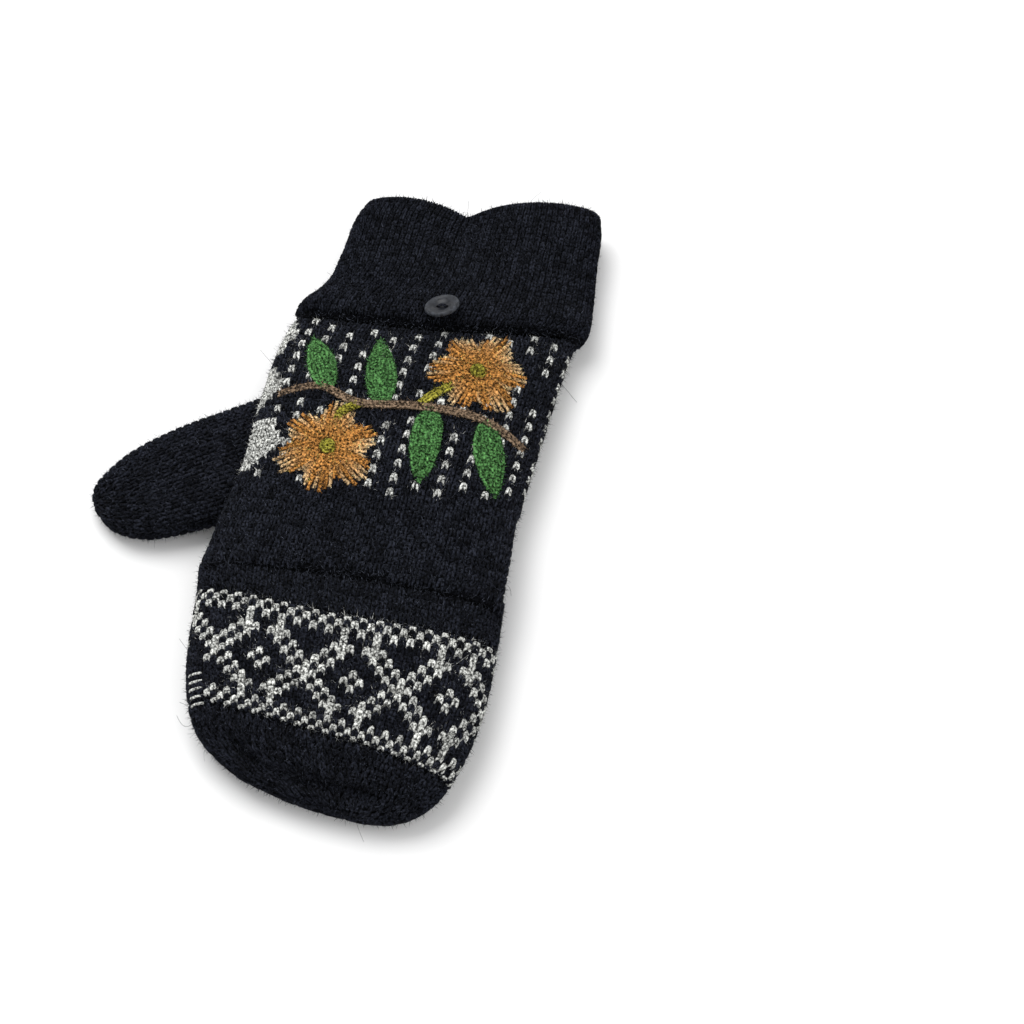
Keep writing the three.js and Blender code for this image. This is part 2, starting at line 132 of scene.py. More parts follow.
class Yarn(Enum):
    """The colours of wool in the mitten, and a painted sheen for its loose black fibres, as linear
    red, green and blue.
    """

    BLACK = (0.0082, 0.0092, 0.0132)
    # painted sheen: the loose fibres of black wool take this colour, lighter than the black yarn
    FUZZ_SHEEN = (0.0225, 0.0250, 0.0330)
    CREAM = (0.41, 0.415, 0.395)
    AMBER = (0.33, 0.15, 0.039)
    STRAW = (0.50, 0.36, 0.20)
    GREEN = (0.054, 0.142, 0.044)
    OLIVE = (0.22, 0.20, 0.03)
    BROWN = (0.15, 0.105, 0.07)


@dataclass(frozen=True)
class Course:
    """One knitted course that shapes a tube, in mm.

    left and right are its edges, floor and crown its lowest and highest level. bow is how
    far its middle lies ahead of its edges on top, and tuck is the palm's take-in.
    """

    left: tuple[float, float]
    right: tuple[float, float]
    floor: float
    crown: float
    bow: float = 0.0
    tuck: float = 0.0

    def values(self) -> np.ndarray:
        """Returns the course as one row of numbers."""
        return np.array([*self.left, *self.right, self.floor, self.crown, self.bow, self.tuck])


CUFF_COURSES = (
    Course((-33.6, 155.8), (50.9, 169.0), 0, 26.5, 2.2),
    Course((-36.6, 147.0), (53.0, 160.0), 0, 26.2, 1.0),
    Course((-37.6, 134.0), (54.2, 147.5), 0, 24.2),
    Course((-39.0, 121.5), (55.8, 136.0), 0, 23.4, 1.0),
    Course((-42.0, 114.0), (56.8, 128.0), 0, 24.0, 2.6),
    Course((-45.8, 107.5), (57.6, 120.5), 0, 26.6, 4.6),
    Course((-47.0, 103.0), (57.0, 116.0), 0, 26.4, 5.6),
    Course((-46.9, 99.4), (54.2, 112.4), 0, 23.4, 6.2),
)
HAND_COURSES = (
    Course((-46.9, 99.1), (53.6, 112.1), 0, 23.0, 6.3),
    Course((-48.2, 93.0), (53.2, 105.5), 0, 24.6, 5.2),
    Course((-49.2, 80.0), (52.3, 91.0), 0, 26.8, 3.0),
    Course((-49.1, 55.0), (51.3, 65.0), 0, 28.6),
    Course((-48.6, 31.0), (50.4, 40.0), 0, 28.4),
    Course((-49.6, 12.0), (52.3, 19.0), 2.8, 28.6, 0, 2.8),
    Course((-50.9, -8.0), (53.6, -2.0), 2.8, 29.0, 0, 2.8),
)
CAP_COURSES = (
    Course((-51.4, 10.0), (52.2, 17.0), 0, 27.4),
    Course((-51.2, -6.0), (53.3, 0.1), 0, 27.6),
    Course((-48.8, -18.0), (54.6, -14.0), 0, 27.9),
    Course((-46.2, -36.0), (55.6, -35.0), 0, 28.2),
    Course((-43.4, -48.0), (54.6, -48.5), 0.8, 27.0),
    Course((-39.0, -59.5), (52.0, -61.5), 2.1, 24.6),
    Course((-32.5, -68.0), (48.6, -70.0), 2.6, 20.8),
    Course((-20.0, -75.0), (43.0, -76.4), 2.9, 16.2),
    Course((-4.0, -79.2), (35.5, -80.2), 3.4, 12.0),
    Course((7.0, -80.8), (29.0, -81.4), 4.6, 8.6),
)
THUMB_COURSES = (
    Course((-26.0, 30.5), (-49.0, 67.2), 0, 17.5),
    Course((-38.5, 23.0), (-60.0, 59.0), 0, 17.5),
    Course((-50.0, 15.8), (-71.2, 50.8), 0, 17.5),
    Course((-61.0, 9.6), (-81.0, 42.6), 0, 17.0),
    Course((-71.0, 5.0), (-89.2, 34.2), 0, 16.0),
    Course((-80.0, 3.6), (-94.0, 27.0), 0.4, 14.4),
    Course((-87.5, 5.2), (-97.0, 21.4), 1.4, 12.0),
    Course((-92.6, 9.0), (-97.6, 17.0), 3.2, 9.2),
)


def smooth(t: np.ndarray) -> np.ndarray:
    """Eases from 0 to 1.

    Args:
        t: position along the step; it is clamped to 0 to 1.

    Returns:
        The eased value.
    """
    c = np.clip(t, 0.0, 1.0)
    return c * c * (3 - 2 * c)


def unit(vectors: np.ndarray) -> np.ndarray:
    """Returns the vectors in the last axis at length one."""
    return vectors / np.maximum(np.linalg.norm(vectors, axis=-1, keepdims=True), 1e-9)


def fill_courses(courses: tuple[Course, ...], step: float) -> np.ndarray:
    """Adds smooth courses between those of a table.

    Args:
        courses: the table.
        step: the largest distance between two courses, in mm.

    Returns:
        One row of course values for each course.
    """
    rows = [c.values() for c in courses]
    filled = []
    for i in range(len(rows) - 1):
        a, b, c = rows[max(0, i - 1)], rows[i], rows[i + 1]
        d = rows[min(len(rows) - 1, i + 2)]
        mid_b, mid_c = (b[0:2] + b[2:4]) / 2, (c[0:2] + c[2:4]) / 2
        steps = max(1, math.ceil(np.linalg.norm(mid_c - mid_b) / step))
        for k in range(steps):
            t = k / steps
            row = 0.5 * (
                2 * b
                + (c - a) * t
                + (2 * a - 5 * b + 4 * c - d) * t**2
                + (3 * b - a - 3 * c + d) * t**3
            )
            row[4] = b[4] + (c[4] - b[4]) * t
            row[7] = b[7] + (c[7] - b[7]) * t
            filled.append(row)
    filled.append(rows[-1])
    return np.array(filled)


def section_outline(half_width: float, floor: float, crown: float) -> np.ndarray:
    """Draws a tube's section, from its right side over the top to its left and back.

    Args:
        half_width: half of the width, in mm.
        floor: level of the underside.
        crown: level of the top.

    Returns:
        RING points as (across, up), evenly spaced along the outline.
    """
    height = crown - floor
    side_z = floor + SIDE_HEIGHT * height
    corner = min(CORNER_WIDTH * height, CORNER_LIMIT * half_width)
    a = np.linspace(0, math.pi, TOP_SAMPLES)
    c = np.cos(a)
    top = np.stack(
        [
            half_width * np.sign(c) * np.abs(c) ** SQUARE_SIDES,
            side_z + (crown - side_z) * np.clip(np.sin(a), 0, 1) ** SQUARE_CROWN,
        ],
        axis=1,
    )
    b = np.linspace(0, math.pi / 2, CORNER_SAMPLES)[1:]
    arc = np.stack(
        [half_width - corner + corner * np.cos(b), side_z - (side_z - floor) * np.sin(b)], axis=1
    )
    left = arc * np.array([-1, 1])
    outline = np.concatenate([top, left, arc[::-1], top[:1]])
    lengths = np.concatenate([[0], np.cumsum(np.linalg.norm(np.diff(outline, axis=0), axis=1))])
    wanted = np.arange(RING) / RING * lengths[-1]
    return np.stack([np.interp(wanted, lengths, outline[:, k]) for k in (0, 1)], axis=1)


@dataclass
class CourseBend:
    """How far a course's left and right ends lie nearer the cuff than its section, in mm."""

    at: tuple[float, ...] = (0.0, 1.0)
    left: tuple[float, ...] = (0.0, 0.0)
    right: tuple[float, ...] = (0.0, 0.0)

    def offset(self, v: np.ndarray, across: np.ndarray) -> np.ndarray:
        """Reads the bend.

        Args:
            v: place along the tube, in mm.
            across: place across it, from -1 at the left to 1 at the right.

        Returns:
            The distance to take from v.
        """
        left = np.interp(v, self.at, self.left) * np.clip(-across, 0, 1) ** 1.5
        right = np.interp(v, self.at, self.right) * np.clip(across, 0, 1) ** 1.5
        return left + right


@dataclass
class KnitTube:
    """The surface of a knitted tube, as a grid that any place (u, v) is read from.

    u runs round the tube from 0 to 1, from its right side over the top, and v runs along
    it in mm, measured on the middle of its top.
    """

    courses: tuple[Course, ...]
    sag: Callable[[np.ndarray], np.ndarray] | None = None
    bend: CourseBend = field(default_factory=CourseBend)
    closed_end: bool = False

    def __post_init__(self) -> None:
        """Works the grid out."""
        table = fill_courses(self.courses, STEP)
        rings, across, on_top = [], [], []
        for row in table:
            ring, p, top = self._ring(row)
            rings.append(ring)
            across.append(p)
            on_top.append(top)
        if self.closed_end:
            self._close(rings, across, on_top)
        self.rings = np.array(rings)
        self.across = np.array(across)
        self.on_top = np.array(on_top)
        middle = self.rings[:, RING // 4]
        steps = np.linalg.norm(np.diff(middle, axis=0), axis=1)
        self.lengths = np.concatenate([[0], np.cumsum(steps)])
        self.length = float(self.lengths[-1])
        self.find_normals()

    def find_normals(self) -> None:
        """Works out which way the surface faces at the grid's points."""
        round_ = np.roll(self.rings, -1, axis=1) - np.roll(self.rings, 1, axis=1)
        along = np.gradient(self.rings, axis=0)
        normals = unit(np.cross(round_, along))
        self.handed = 1.0 if normals[1, RING // 4, 2] > 0 else -1.0
        self.normals = normals * self.handed

    def _ring(self, row: np.ndarray) -> tuple[np.ndarray, np.ndarray, np.ndarray]:
        """Places one course's outline in space.

        Args:
            row: the course's values.

        Returns:
            The points, their place across from -1 to 1, and 1 where they are on top.
        """
        left, right = row[0:2], row[2:4]
        floor, crown, bow, tuck = row[4:8]
        half_width = np.linalg.norm(right - left) / 2
        across = (right - left) / (2 * half_width)
        centre = (left + right) / 2
        outline = section_outline(half_width, floor, crown)
        p, z = outline[:, 0], outline[:, 1]
        tucked = tuck * smooth((TUCK_TOP_Z - z) / TUCK_FADE)
        inwards = p * (1 - tucked / half_width)
        bowed = bow * (1 - (p / half_width) ** 2) * smooth((z / crown - 0.5) / 0.3)
        x = centre[0] + across[0] * inwards
        y = centre[1] + across[1] * inwards - bowed
        points = np.stack([x, y, z], axis=1)
        if self.sag is not None:
            upper = smooth((z - (floor + crown) / 2) / (0.35 * (crown - floor)))
            points[:, 2] -= upper * self.sag(points)
        top = (z > floor + SIDE_HEIGHT * (crown - floor)).astype(float)
        return points, p / half_width, top

    def _close(self, rings: list, across: list, on_top: list) -> None:
        """Rounds the far end over, with rings that shrink to a point.

        Args:
            rings: the rings so far, added to in place.
            across: their places across, added to in place.
            on_top: their sides, added to in place.
        """
        last = rings[-1]
        middle = last.mean(axis=0)
        onward = unit(last.mean(axis=0) - rings[-3].mean(axis=0)) * END_REACH
        for shrink, reach in END_RINGS:
            rings.append(middle + (last - middle) * shrink + onward * reach)
            across.append(across[-1])
            on_top.append(on_top[-1])

    def read(self, grid: np.ndarray, u: np.ndarray, v: np.ndarray) -> np.ndarray:
        """Reads a grid between its samples.

        Args:
            grid: values by ring and sample.
            u: places round the tube.
            v: places along it, in mm.

        Returns:
            The values there.
        """
        fu = (np.asarray(u, float) % 1.0) * RING
        fv = np.interp(v, self.lengths, np.arange(len(self.lengths)))
        j, i = np.floor(fu).astype(int) % RING, np.minimum(np.floor(fv).astype(int), len(grid) - 2)
        tu, tv = fu - np.floor(fu), fv - i
        if grid.ndim == 3:
            tu, tv = tu[..., None], tv[..., None]
        k = (j + 1) % RING
        low = grid[i, j] * (1 - tu) + grid[i, k] * tu
        high = grid[i + 1, j] * (1 - tu) + grid[i + 1, k] * tu
        return low * (1 - tv) + high * tv

    def bent(self, u: np.ndarray, v: np.ndarray) -> np.ndarray:
        """Returns v moved as the courses bend."""
        return np.clip(v - self.bend.offset(v, self.read(self.across, u, v)), 0, self.length)

    def point(self, u: np.ndarray, v: np.ndarray, inset: float = 0.0) -> np.ndarray:
        """Finds places on the surface.

        Args:
            u: places round the tube.
            v: places along it, in mm.
            inset: how deep under the surface.

        Returns:
            Points in mm.
        """
        return self.read(self.rings, u, v) - inset * unit(self.read(self.normals, u, v))

    def facts(self, u: np.ndarray, v: np.ndarray) -> tuple[np.ndarray, np.ndarray]:
        """Returns the places across, from -1 to 1, and 1 where they are on top."""
        return self.read(self.across, u, v), self.read(self.on_top, u, v)

    def solve(self, u: np.ndarray, level: Callable[[np.ndarray], np.ndarray]) -> np.ndarray:
        """Finds where lines along the tube first reach level 0 or more.

        Args:
            u: the lines' places round the tube.
            level: a measure of points, negative before the edge.

        Returns:
            The places along the tube, in mm.
        """
        v = np.linspace(0, self.length, SOLVE_SAMPLES)
        found = []
        for place in u:
            at = level(self.point(np.full_like(v, place), v))
            hit = np.nonzero(at >= 0)[0]
            if len(hit) == 0 or hit[0] == 0:
                found.append(0.0 if len(hit) else self.length)
                continue
            n = hit[0]
            share = -at[n - 1] / (at[n] - at[n - 1])
            found.append(v[n - 1] + share * (v[n] - v[n - 1]))
        return np.array(found)


def seam_level(points: np.ndarray) -> np.ndarray:
    """Returns how far points lie ahead of the knuckle seam."""
    return KNUCKLE_Y + KNUCKLE_SLOPE * points[..., 0] - points[..., 1]


def hem_level(points: np.ndarray) -> np.ndarray:
    """Measures how far points lie ahead of the cap's open edge.

    Args:
        points: points in mm.

    Returns:
        The distance along Y; the edge runs further back under the palm.
    """
    back = HEM_REACH * np.clip((HEM_HIGH_Z - points[..., 2]) / (HEM_HIGH_Z - HEM_LOW_Z), 0, 1)
    return seam_level(points) + back - HEM_SHIFT


def add_object(name: str, data: bpy.types.ID) -> bpy.types.Object:
    """Returns a new object in the scene that shows the data."""
    obj = bpy.data.objects.new(name, data)
    bpy.context.scene.collection.objects.link(obj)
    return obj


def new_mesh(name: str, points: np.ndarray, faces: list, shaded: bool = True) -> bpy.types.Object:
    """Makes an object from points in mm, measured as the courses are.

    Args:
        name: the piece's name.
        points: its vertices.
        faces: its faces.
        shaded: whether it is smooth shaded.

    Returns:
        The object, linked to the scene.
    """
    mesh = bpy.data.meshes.new(name)
    mesh.from_pydata(((np.asarray(points) + SHIFT) * MM).tolist(), [], faces)
    mesh.validate()
    mesh.polygons.foreach_set("use_smooth", [shaded] * len(mesh.polygons))
    return add_object(name, mesh)


def store(mesh: bpy.types.Mesh, name: str, values: np.ndarray) -> None:
    """Stores a number for each vertex as a named attribute."""
    layer = mesh.attributes.new(name, "FLOAT", "POINT")
    layer.data.foreach_set("value", values.astype(np.float32))


def paint(mesh: bpy.types.Mesh, colours: np.ndarray) -> None:
    """Stores a colour for each vertex as the attribute that the wool reads.

    Args:
        mesh: the mesh.
        colours: linear red, green and blue for each vertex.
    """
    layer = mesh.attributes.new("yarn", "FLOAT_COLOR", "POINT")
    full = np.concatenate([colours, np.ones((len(colours), 1))], axis=1)
    layer.data.foreach_set("color", full.astype(np.float32).ravel())


class Sketch:
    """A short way to add and link nodes in a tree."""

    def __init__(self, tree: bpy.types.NodeTree) -> None:
        """Keeps the tree, emptied."""
        self.tree = tree
        tree.nodes.clear()

    def add(self, kind: str, settings: dict | None = None, **inputs: object) -> bpy.types.Node:
        """Adds a node.

        Args:
            kind: the node's type.
            settings: properties of the node.
            inputs: values or output sockets for inputs, by name with _ for a space.

        Returns:
            The node.
        """
        node = self.tree.nodes.new(kind)
        for key, value in (settings or {}).items():
            setattr(node, key, value)
        for key, value in inputs.items():
            name = key.replace("_", " ")
            socket = node.inputs[int(key[1:])] if key[1:].isdigit() else node.inputs[name]
            self.put(socket, value)
        return node

    def put(self, socket: bpy.types.NodeSocket, value: object) -> None:
        """Links a value to a socket if it is an output, or else stores it there.

        Args:
            socket: the input socket.
            value: a value, or another node's output socket.
        """
        if isinstance(value, bpy.types.NodeSocket):
            self.tree.links.new(value, socket)
        else:
            socket.default_value = value

    def math(self, operation: str, a: object, b: object = 0.0) -> bpy.types.NodeSocket:
        """Returns the output of a Math node on a and b."""
        kind = "ShaderNodeMath"
        return self.add(kind, {"operation": operation}, i0=a, i1=b).outputs[0]

    def vector(self, x: object, y: object, z: object) -> bpy.types.NodeSocket:
        """Returns a vector output made from three numbers."""
        return self.add("ShaderNodeCombineXYZ", X=x, Y=y, Z=z).outputs[0]

    def read(self, name: str, kind: str) -> bpy.types.NodeSocket:
        """Returns the output that reads a named attribute of a kind."""
        node = self.add("GeometryNodeInputNamedAttribute", {"data_type": kind}, Name=name)
        return node.outputs[0]


class GeometryTree:
    """A Geometry Nodes tree with named inputs, run on a mesh and turned into a plain mesh."""

    def __init__(self, name: str, inputs: dict[str, tuple[str, object]]) -> None:
        """Makes the tree's interface.

        Args:
            name: the tree's name.
            inputs: socket type and default value for each named input.
        """
        self.group = bpy.data.node_groups.new(name, "GeometryNodeTree")
        face = self.group.interface
        face.new_socket("Geometry", in_out="INPUT", socket_type="NodeSocketGeometry")
        for title, (kind, value) in inputs.items():
            socket = face.new_socket(title, in_out="INPUT", socket_type=kind)
            if value is not None:
                socket.default_value = value
        face.new_socket("Geometry", in_out="OUTPUT", socket_type="NodeSocketGeometry")
        self.sketch = Sketch(self.group)
        self.given = self.sketch.add("NodeGroupInput").outputs

    def scatter(self) -> bpy.types.Node:
        """Scatters points on the surface, as many as Density and its attribute fuzz say.

        Returns:
            The node, whose outputs are the points and their rotations.
        """
        s, given = self.sketch, self.given
        return s.add(
            "GeometryNodeDistributePointsOnFaces",
            {"distribute_method": "RANDOM"},
            Mesh=given["Geometry"],
            Density=s.math("MULTIPLY", given["Density"], s.read("fuzz", "FLOAT")),
            Seed=given["Seed"],
        )

    def lean(self, rotation: bpy.types.NodeSocket) -> bpy.types.NodeSocket:
        """Turns every fibre another way.

        Args:
            rotation: the fibres' upright rotation.

        Returns:
            Their rotation, leaning by up to Lean.
        """
        s, lean = self.sketch, self.given["Lean"]
        less = s.math("MULTIPLY", lean, -1.0)
        tilt = s.add(
            "FunctionNodeRandomValue",
            {"data_type": "FLOAT_VECTOR"},
            i0=s.vector(less, less, 0.0),
            i1=s.vector(lean, lean, 2 * math.pi),
            Seed=self.given["Seed"],
        ).outputs[0]
        return s.add(
            "FunctionNodeRotateRotation",
            {"rotation_space": "LOCAL"},
            Rotation=rotation,
            Rotate_By=s.add("FunctionNodeEulerToRotation", Euler=tilt).outputs[0],
        ).outputs[0]

    def draw(self, low: object, high: object, shift: float) -> bpy.types.NodeSocket:
        """Draws a number for every fibre.

        Args:
            low: the least number.
            high: the greatest number.
            shift: added to Seed.

        Returns:
            The output with the numbers.
        """
        return self.sketch.add(
            "FunctionNodeRandomValue",
            {"data_type": "FLOAT"},
            i2=low,
            i3=high,
            Seed=self.sketch.math("ADD", self.given["Seed"], shift),
        ).outputs[1]

    def lengths(self, low: float, high: float) -> bpy.types.NodeSocket:
        """Returns a length for every fibre, from low to high times Length."""
        s, length = self.sketch, self.given["Length"]
        return self.draw(s.math("MULTIPLY", length, low), s.math("MULTIPLY", length, high), 1.0)

    def end(self, geometry: bpy.types.NodeSocket) -> None:
        """Realizes the instances, shades and dresses them, and ends the tree.

        Args:
            geometry: the geometry to put out.
        """
        s = self.sketch
        real = s.add("GeometryNodeRealizeInstances", Geometry=geometry).outputs[0]
        soft = s.add("GeometryNodeSetShadeSmooth", Geometry=real).outputs[0]
        dressed = s.add("GeometryNodeSetMaterial", Geometry=soft, Material=self.given["Material"])
        out = s.add("NodeGroupOutput")
        s.tree.links.new(dressed.outputs[0], out.inputs[0])

    def run(
        self, source: bpy.types.Object, name: str, values: dict[str, object]
    ) -> bpy.types.Object:
        """Runs the tree on a mesh.

        Args:
            source: the mesh object that the tree reads.
            name: the new piece's name.
            values: values for named inputs.

        Returns:
            A new object with the plain mesh; the source is left without the modifier.
        """
        modifier = source.modifiers.new("stitched", "NODES")
        modifier.node_group = self.group
        for item in self.group.interface.items_tree:
            if item.item_type == "SOCKET" and item.in_out == "INPUT" and item.name in values:
                modifier[item.identifier] = values[item.name]
        graph = bpy.context.evaluated_depsgraph_get()
        mesh = bpy.data.meshes.new_from_object(source.evaluated_get(graph), depsgraph=graph)
        source.modifiers.remove(modifier)
        mesh.name = name
        return add_object(name, mesh)


# A leg's shape. It starts near the stitch's middle and bends outwards: the first two are
# shares of its spread, the others are shares of the stitch.
LEG_START = 0.22
LEG_BEND = 0.62
LEG_BEND_PLACE = 0.12
LEG_START_LEVEL = -0.16
LEG_END_LEVEL = -0.2
LEG_THIN = 0.58  # its thickness at its ends, against the yarn's
LEG_SWELL = 0.42  # and how much thicker it is in its middle


def stitch_tree() -> GeometryTree:
    """Makes the tree that puts a knit stitch of two plump legs on every point.

    Returns:
        The tree. Its points carry turn, size and yarn.
    """
    tree = GeometryTree(
        "knit stitches",
        {
            "Leg Spread": ("NodeSocketFloat", 0.37),
            "Leg Reach": ("NodeSocketFloat", 0.66),
            "Leg Arch": ("NodeSocketFloat", 0.62),
            "Yarn Radius": ("NodeSocketFloat", 0.235),
            "Leg Segments": ("NodeSocketInt", 4),
            "Yarn Sides": ("NodeSocketInt", 5),
            "Unevenness": ("NodeSocketFloat", 0.09),
            "Seed": ("NodeSocketInt", 3),
            "Material": ("NodeSocketMaterial", None),
        },
    )
    s, given = tree.sketch, tree.given
    spread, reach = given["Leg Spread"], given["Leg Reach"]
    start = s.vector(s.math("MULTIPLY", spread, LEG_START), reach, LEG_START_LEVEL)
    bend = s.math("MULTIPLY", spread, LEG_BEND)
    middle = s.vector(bend, LEG_BEND_PLACE, given["Leg Arch"])
    end = s.vector(spread, s.math("MULTIPLY", reach, -1.0), LEG_END_LEVEL)
    curve = s.add(
        "GeometryNodeCurveQuadraticBezier",
        Resolution=given["Leg Segments"],
        Start=start,
        Middle=middle,
        End=end,
    ).outputs[0]
    place = s.add("GeometryNodeSplineParameter").outputs["Factor"]
    hump = s.math("SINE", s.math("MULTIPLY", place, math.pi))
    taper = s.math("ADD", s.math("MULTIPLY", hump, LEG_SWELL), LEG_THIN)
    radius = s.math("MULTIPLY", taper, given["Yarn Radius"])
    sides = given["Yarn Sides"]
    circle = s.add("GeometryNodeCurvePrimitiveCircle", Resolution=sides, Radius=1.0).outputs[0]
    leg = s.add(
        "GeometryNodeCurveToMesh", Curve=curve, Profile_Curve=circle, Scale=radius, Fill_Caps=True
    ).outputs[0]
    turned = s.add("GeometryNodeTransform", Geometry=leg, Scale=(-1.0, 1.0, 1.0)).outputs[0]
    other = s.add("GeometryNodeFlipFaces", Mesh=turned).outputs[0]
    both = s.add("GeometryNodeJoinGeometry")
    s.tree.links.new(leg, both.inputs[0])
    s.tree.links.new(other, both.inputs[0])
    turn, size = s.read("turn", "FLOAT_VECTOR"), s.read("size", "FLOAT_VECTOR")
    low = s.math("SUBTRACT", 1.0, given["Unevenness"])
    high = s.math("ADD", 1.0, given["Unevenness"])
    chance = s.add(
        "FunctionNodeRandomValue",
        {"data_type": "FLOAT_VECTOR"},
        i0=s.vector(low, low, low),
        i1=s.vector(high, high, high),
        Seed=given["Seed"],
    ).outputs[0]
    scale = s.add("ShaderNodeVectorMath", {"operation": "MULTIPLY"}, i0=size, i1=chance).outputs[0]
    rotation = s.add("FunctionNodeEulerToRotation", Euler=turn).outputs[0]
    placed = s.add(
        "GeometryNodeInstanceOnPoints",
        Points=given["Geometry"],
        Instance=both.outputs[0],
        Rotation=rotation,
        Scale=scale,
    ).outputs[0]
    tree.end(placed)
    return tree


STRAY_LENGTHS = (0.45, 1.3)  # the least and the greatest, against the usual one


def fuzz_tree() -> GeometryTree:
    """Makes the tree that grows loose fibres out of a knitted wall.

    Returns:
        The tree. Its surface carries yarn and fuzz, the share of fibres that a place gets.
    """
    tree = GeometryTree(
        "loose fibres",
        {
            "Density": ("NodeSocketFloat", 60000.0),
            "Length": ("NodeSocketFloat", 0.003),
            "Curl": ("NodeSocketFloat", 0.5),
            "Hair Radius": ("NodeSocketFloat", 0.00004),
            "Lean": ("NodeSocketFloat", 0.9),
            "Segments": ("NodeSocketInt", 3),
            "Seed": ("NodeSocketInt", 5),
            "Material": ("NodeSocketMaterial", None),
        },
    )
    s, given = tree.sketch, tree.given
    scattered = tree.scatter()
    curl = given["Curl"]
    curve = s.add(
        "GeometryNodeCurveQuadraticBezier",
        Resolution=given["Segments"],
        Start=(0.0, 0.0, 0.0),
        Middle=s.vector(s.math("MULTIPLY", curl, -0.4), 0.1, 0.55),
        End=s.vector(curl, 0.0, 0.85),
    ).outputs[0]
    circle = s.add("GeometryNodeCurvePrimitiveCircle", Resolution=3, Radius=1.0).outputs[0]
    thin = s.math("DIVIDE", given["Hair Radius"], given["Length"])
    hair = s.add("GeometryNodeCurveToMesh", Curve=curve, Profile_Curve=circle, Scale=thin).outputs[0]
    size = tree.lengths(*STRAY_LENGTHS)
    placed = s.add(
        "GeometryNodeInstanceOnPoints",
        Points=scattered.outputs["Points"],
        Instance=hair,
        Rotation=tree.lean(scattered.outputs["Rotation"]),
        Scale=size,
    ).outputs[0]
    tree.end(placed)
    return tree


# A fibre's brightness against its yarn's: DULL, and up to BRIGHT more for the few that get a painted
# glint, as if they caught the light. None is paler than PALEST.
NAP_DULL = 0.4
NAP_BRIGHT = 2.4
NAP_RARENESS = 2.5
NAP_PALEST = (0.52, 0.51, 0.47)
NAP_LENGTHS = (0.5, 1.4)  # the least and the greatest, against the usual one


def nap_tree() -> GeometryTree:
    """Makes the tree that covers a wall or a strand with short, tapered fibres, a few of them with a
    painted glint.

    Returns:
        The tree. Its surface carries yarn and fuzz, the share of fibres that a place gets.
    """
    tree = GeometryTree(
        "short nap",
        {
            "Density": ("NodeSocketFloat", 900000.0),
            "Length": ("NodeSocketFloat", 0.003),
            "Root Radius": ("NodeSocketFloat", 0.00015),
            "Lean": ("NodeSocketFloat", 1.0),
            "Seed": ("NodeSocketInt", 5),
            "Material": ("NodeSocketMaterial", None),
        },
    )
    s, given = tree.sketch, tree.given
    scattered = tree.scatter()
    # painted glint: a few fibres are drawn brighter than their yarn, as if they caught the light
    rare = s.math("POWER", tree.draw(0.0, 1.0, 2.0), NAP_RARENESS)
    bright = s.math("ADD", NAP_DULL, s.math("MULTIPLY", NAP_BRIGHT, rare))
    yarn = s.read("yarn", "FLOAT_VECTOR")
    tinted = s.add(
        "ShaderNodeVectorMath", {"operation": "SCALE"}, Vector=yarn, Scale=bright
    ).outputs[0]
    pale = s.add(
        "ShaderNodeVectorMath", {"operation": "MINIMUM"}, i0=tinted, i1=NAP_PALEST
    ).outputs[0]
    rooted = s.add(
        "GeometryNodeStoreNamedAttribute",
        {"data_type": "FLOAT_COLOR", "domain": "POINT"},
        Geometry=scattered.outputs["Points"],
        Name="yarn",
        Value=pale,
    ).outputs[0]
    fibre = s.add(
        "GeometryNodeMeshCone",
        {"fill_type": "NONE"},
        Vertices=3,
        Side_Segments=1,
        Radius_Top=0.0,
        Radius_Bottom=1.0,
        Depth=1.0,
    ).outputs[0]
    size = tree.lengths(*NAP_LENGTHS)
    placed = s.add(
        "GeometryNodeInstanceOnPoints",
        Points=rooted,
        Instance=fibre,
        Rotation=tree.lean(scattered.outputs["Rotation"]),
        Scale=s.vector(given["Root Radius"], given["Root Radius"], size),
    ).outputs[0]
    tree.end(placed)
    return tree


def new_material(name: str) -> tuple[bpy.types.Material, Sketch, bpy.types.Node]:
    """Makes a material of one shader.

    Args:
        name: its name.

    Returns:
        The material, the sketch of its tree and the shader.
    """
    material = bpy.data.materials.new(name)
    material.use_nodes = True
    s = Sketch(material.node_tree)
    out = s.add("ShaderNodeOutputMaterial")
    shader = s.add("ShaderNodeBsdfPrincipled")
    s.tree.links.new(shader.outputs[0], out.inputs[0])
    return material, s, shader


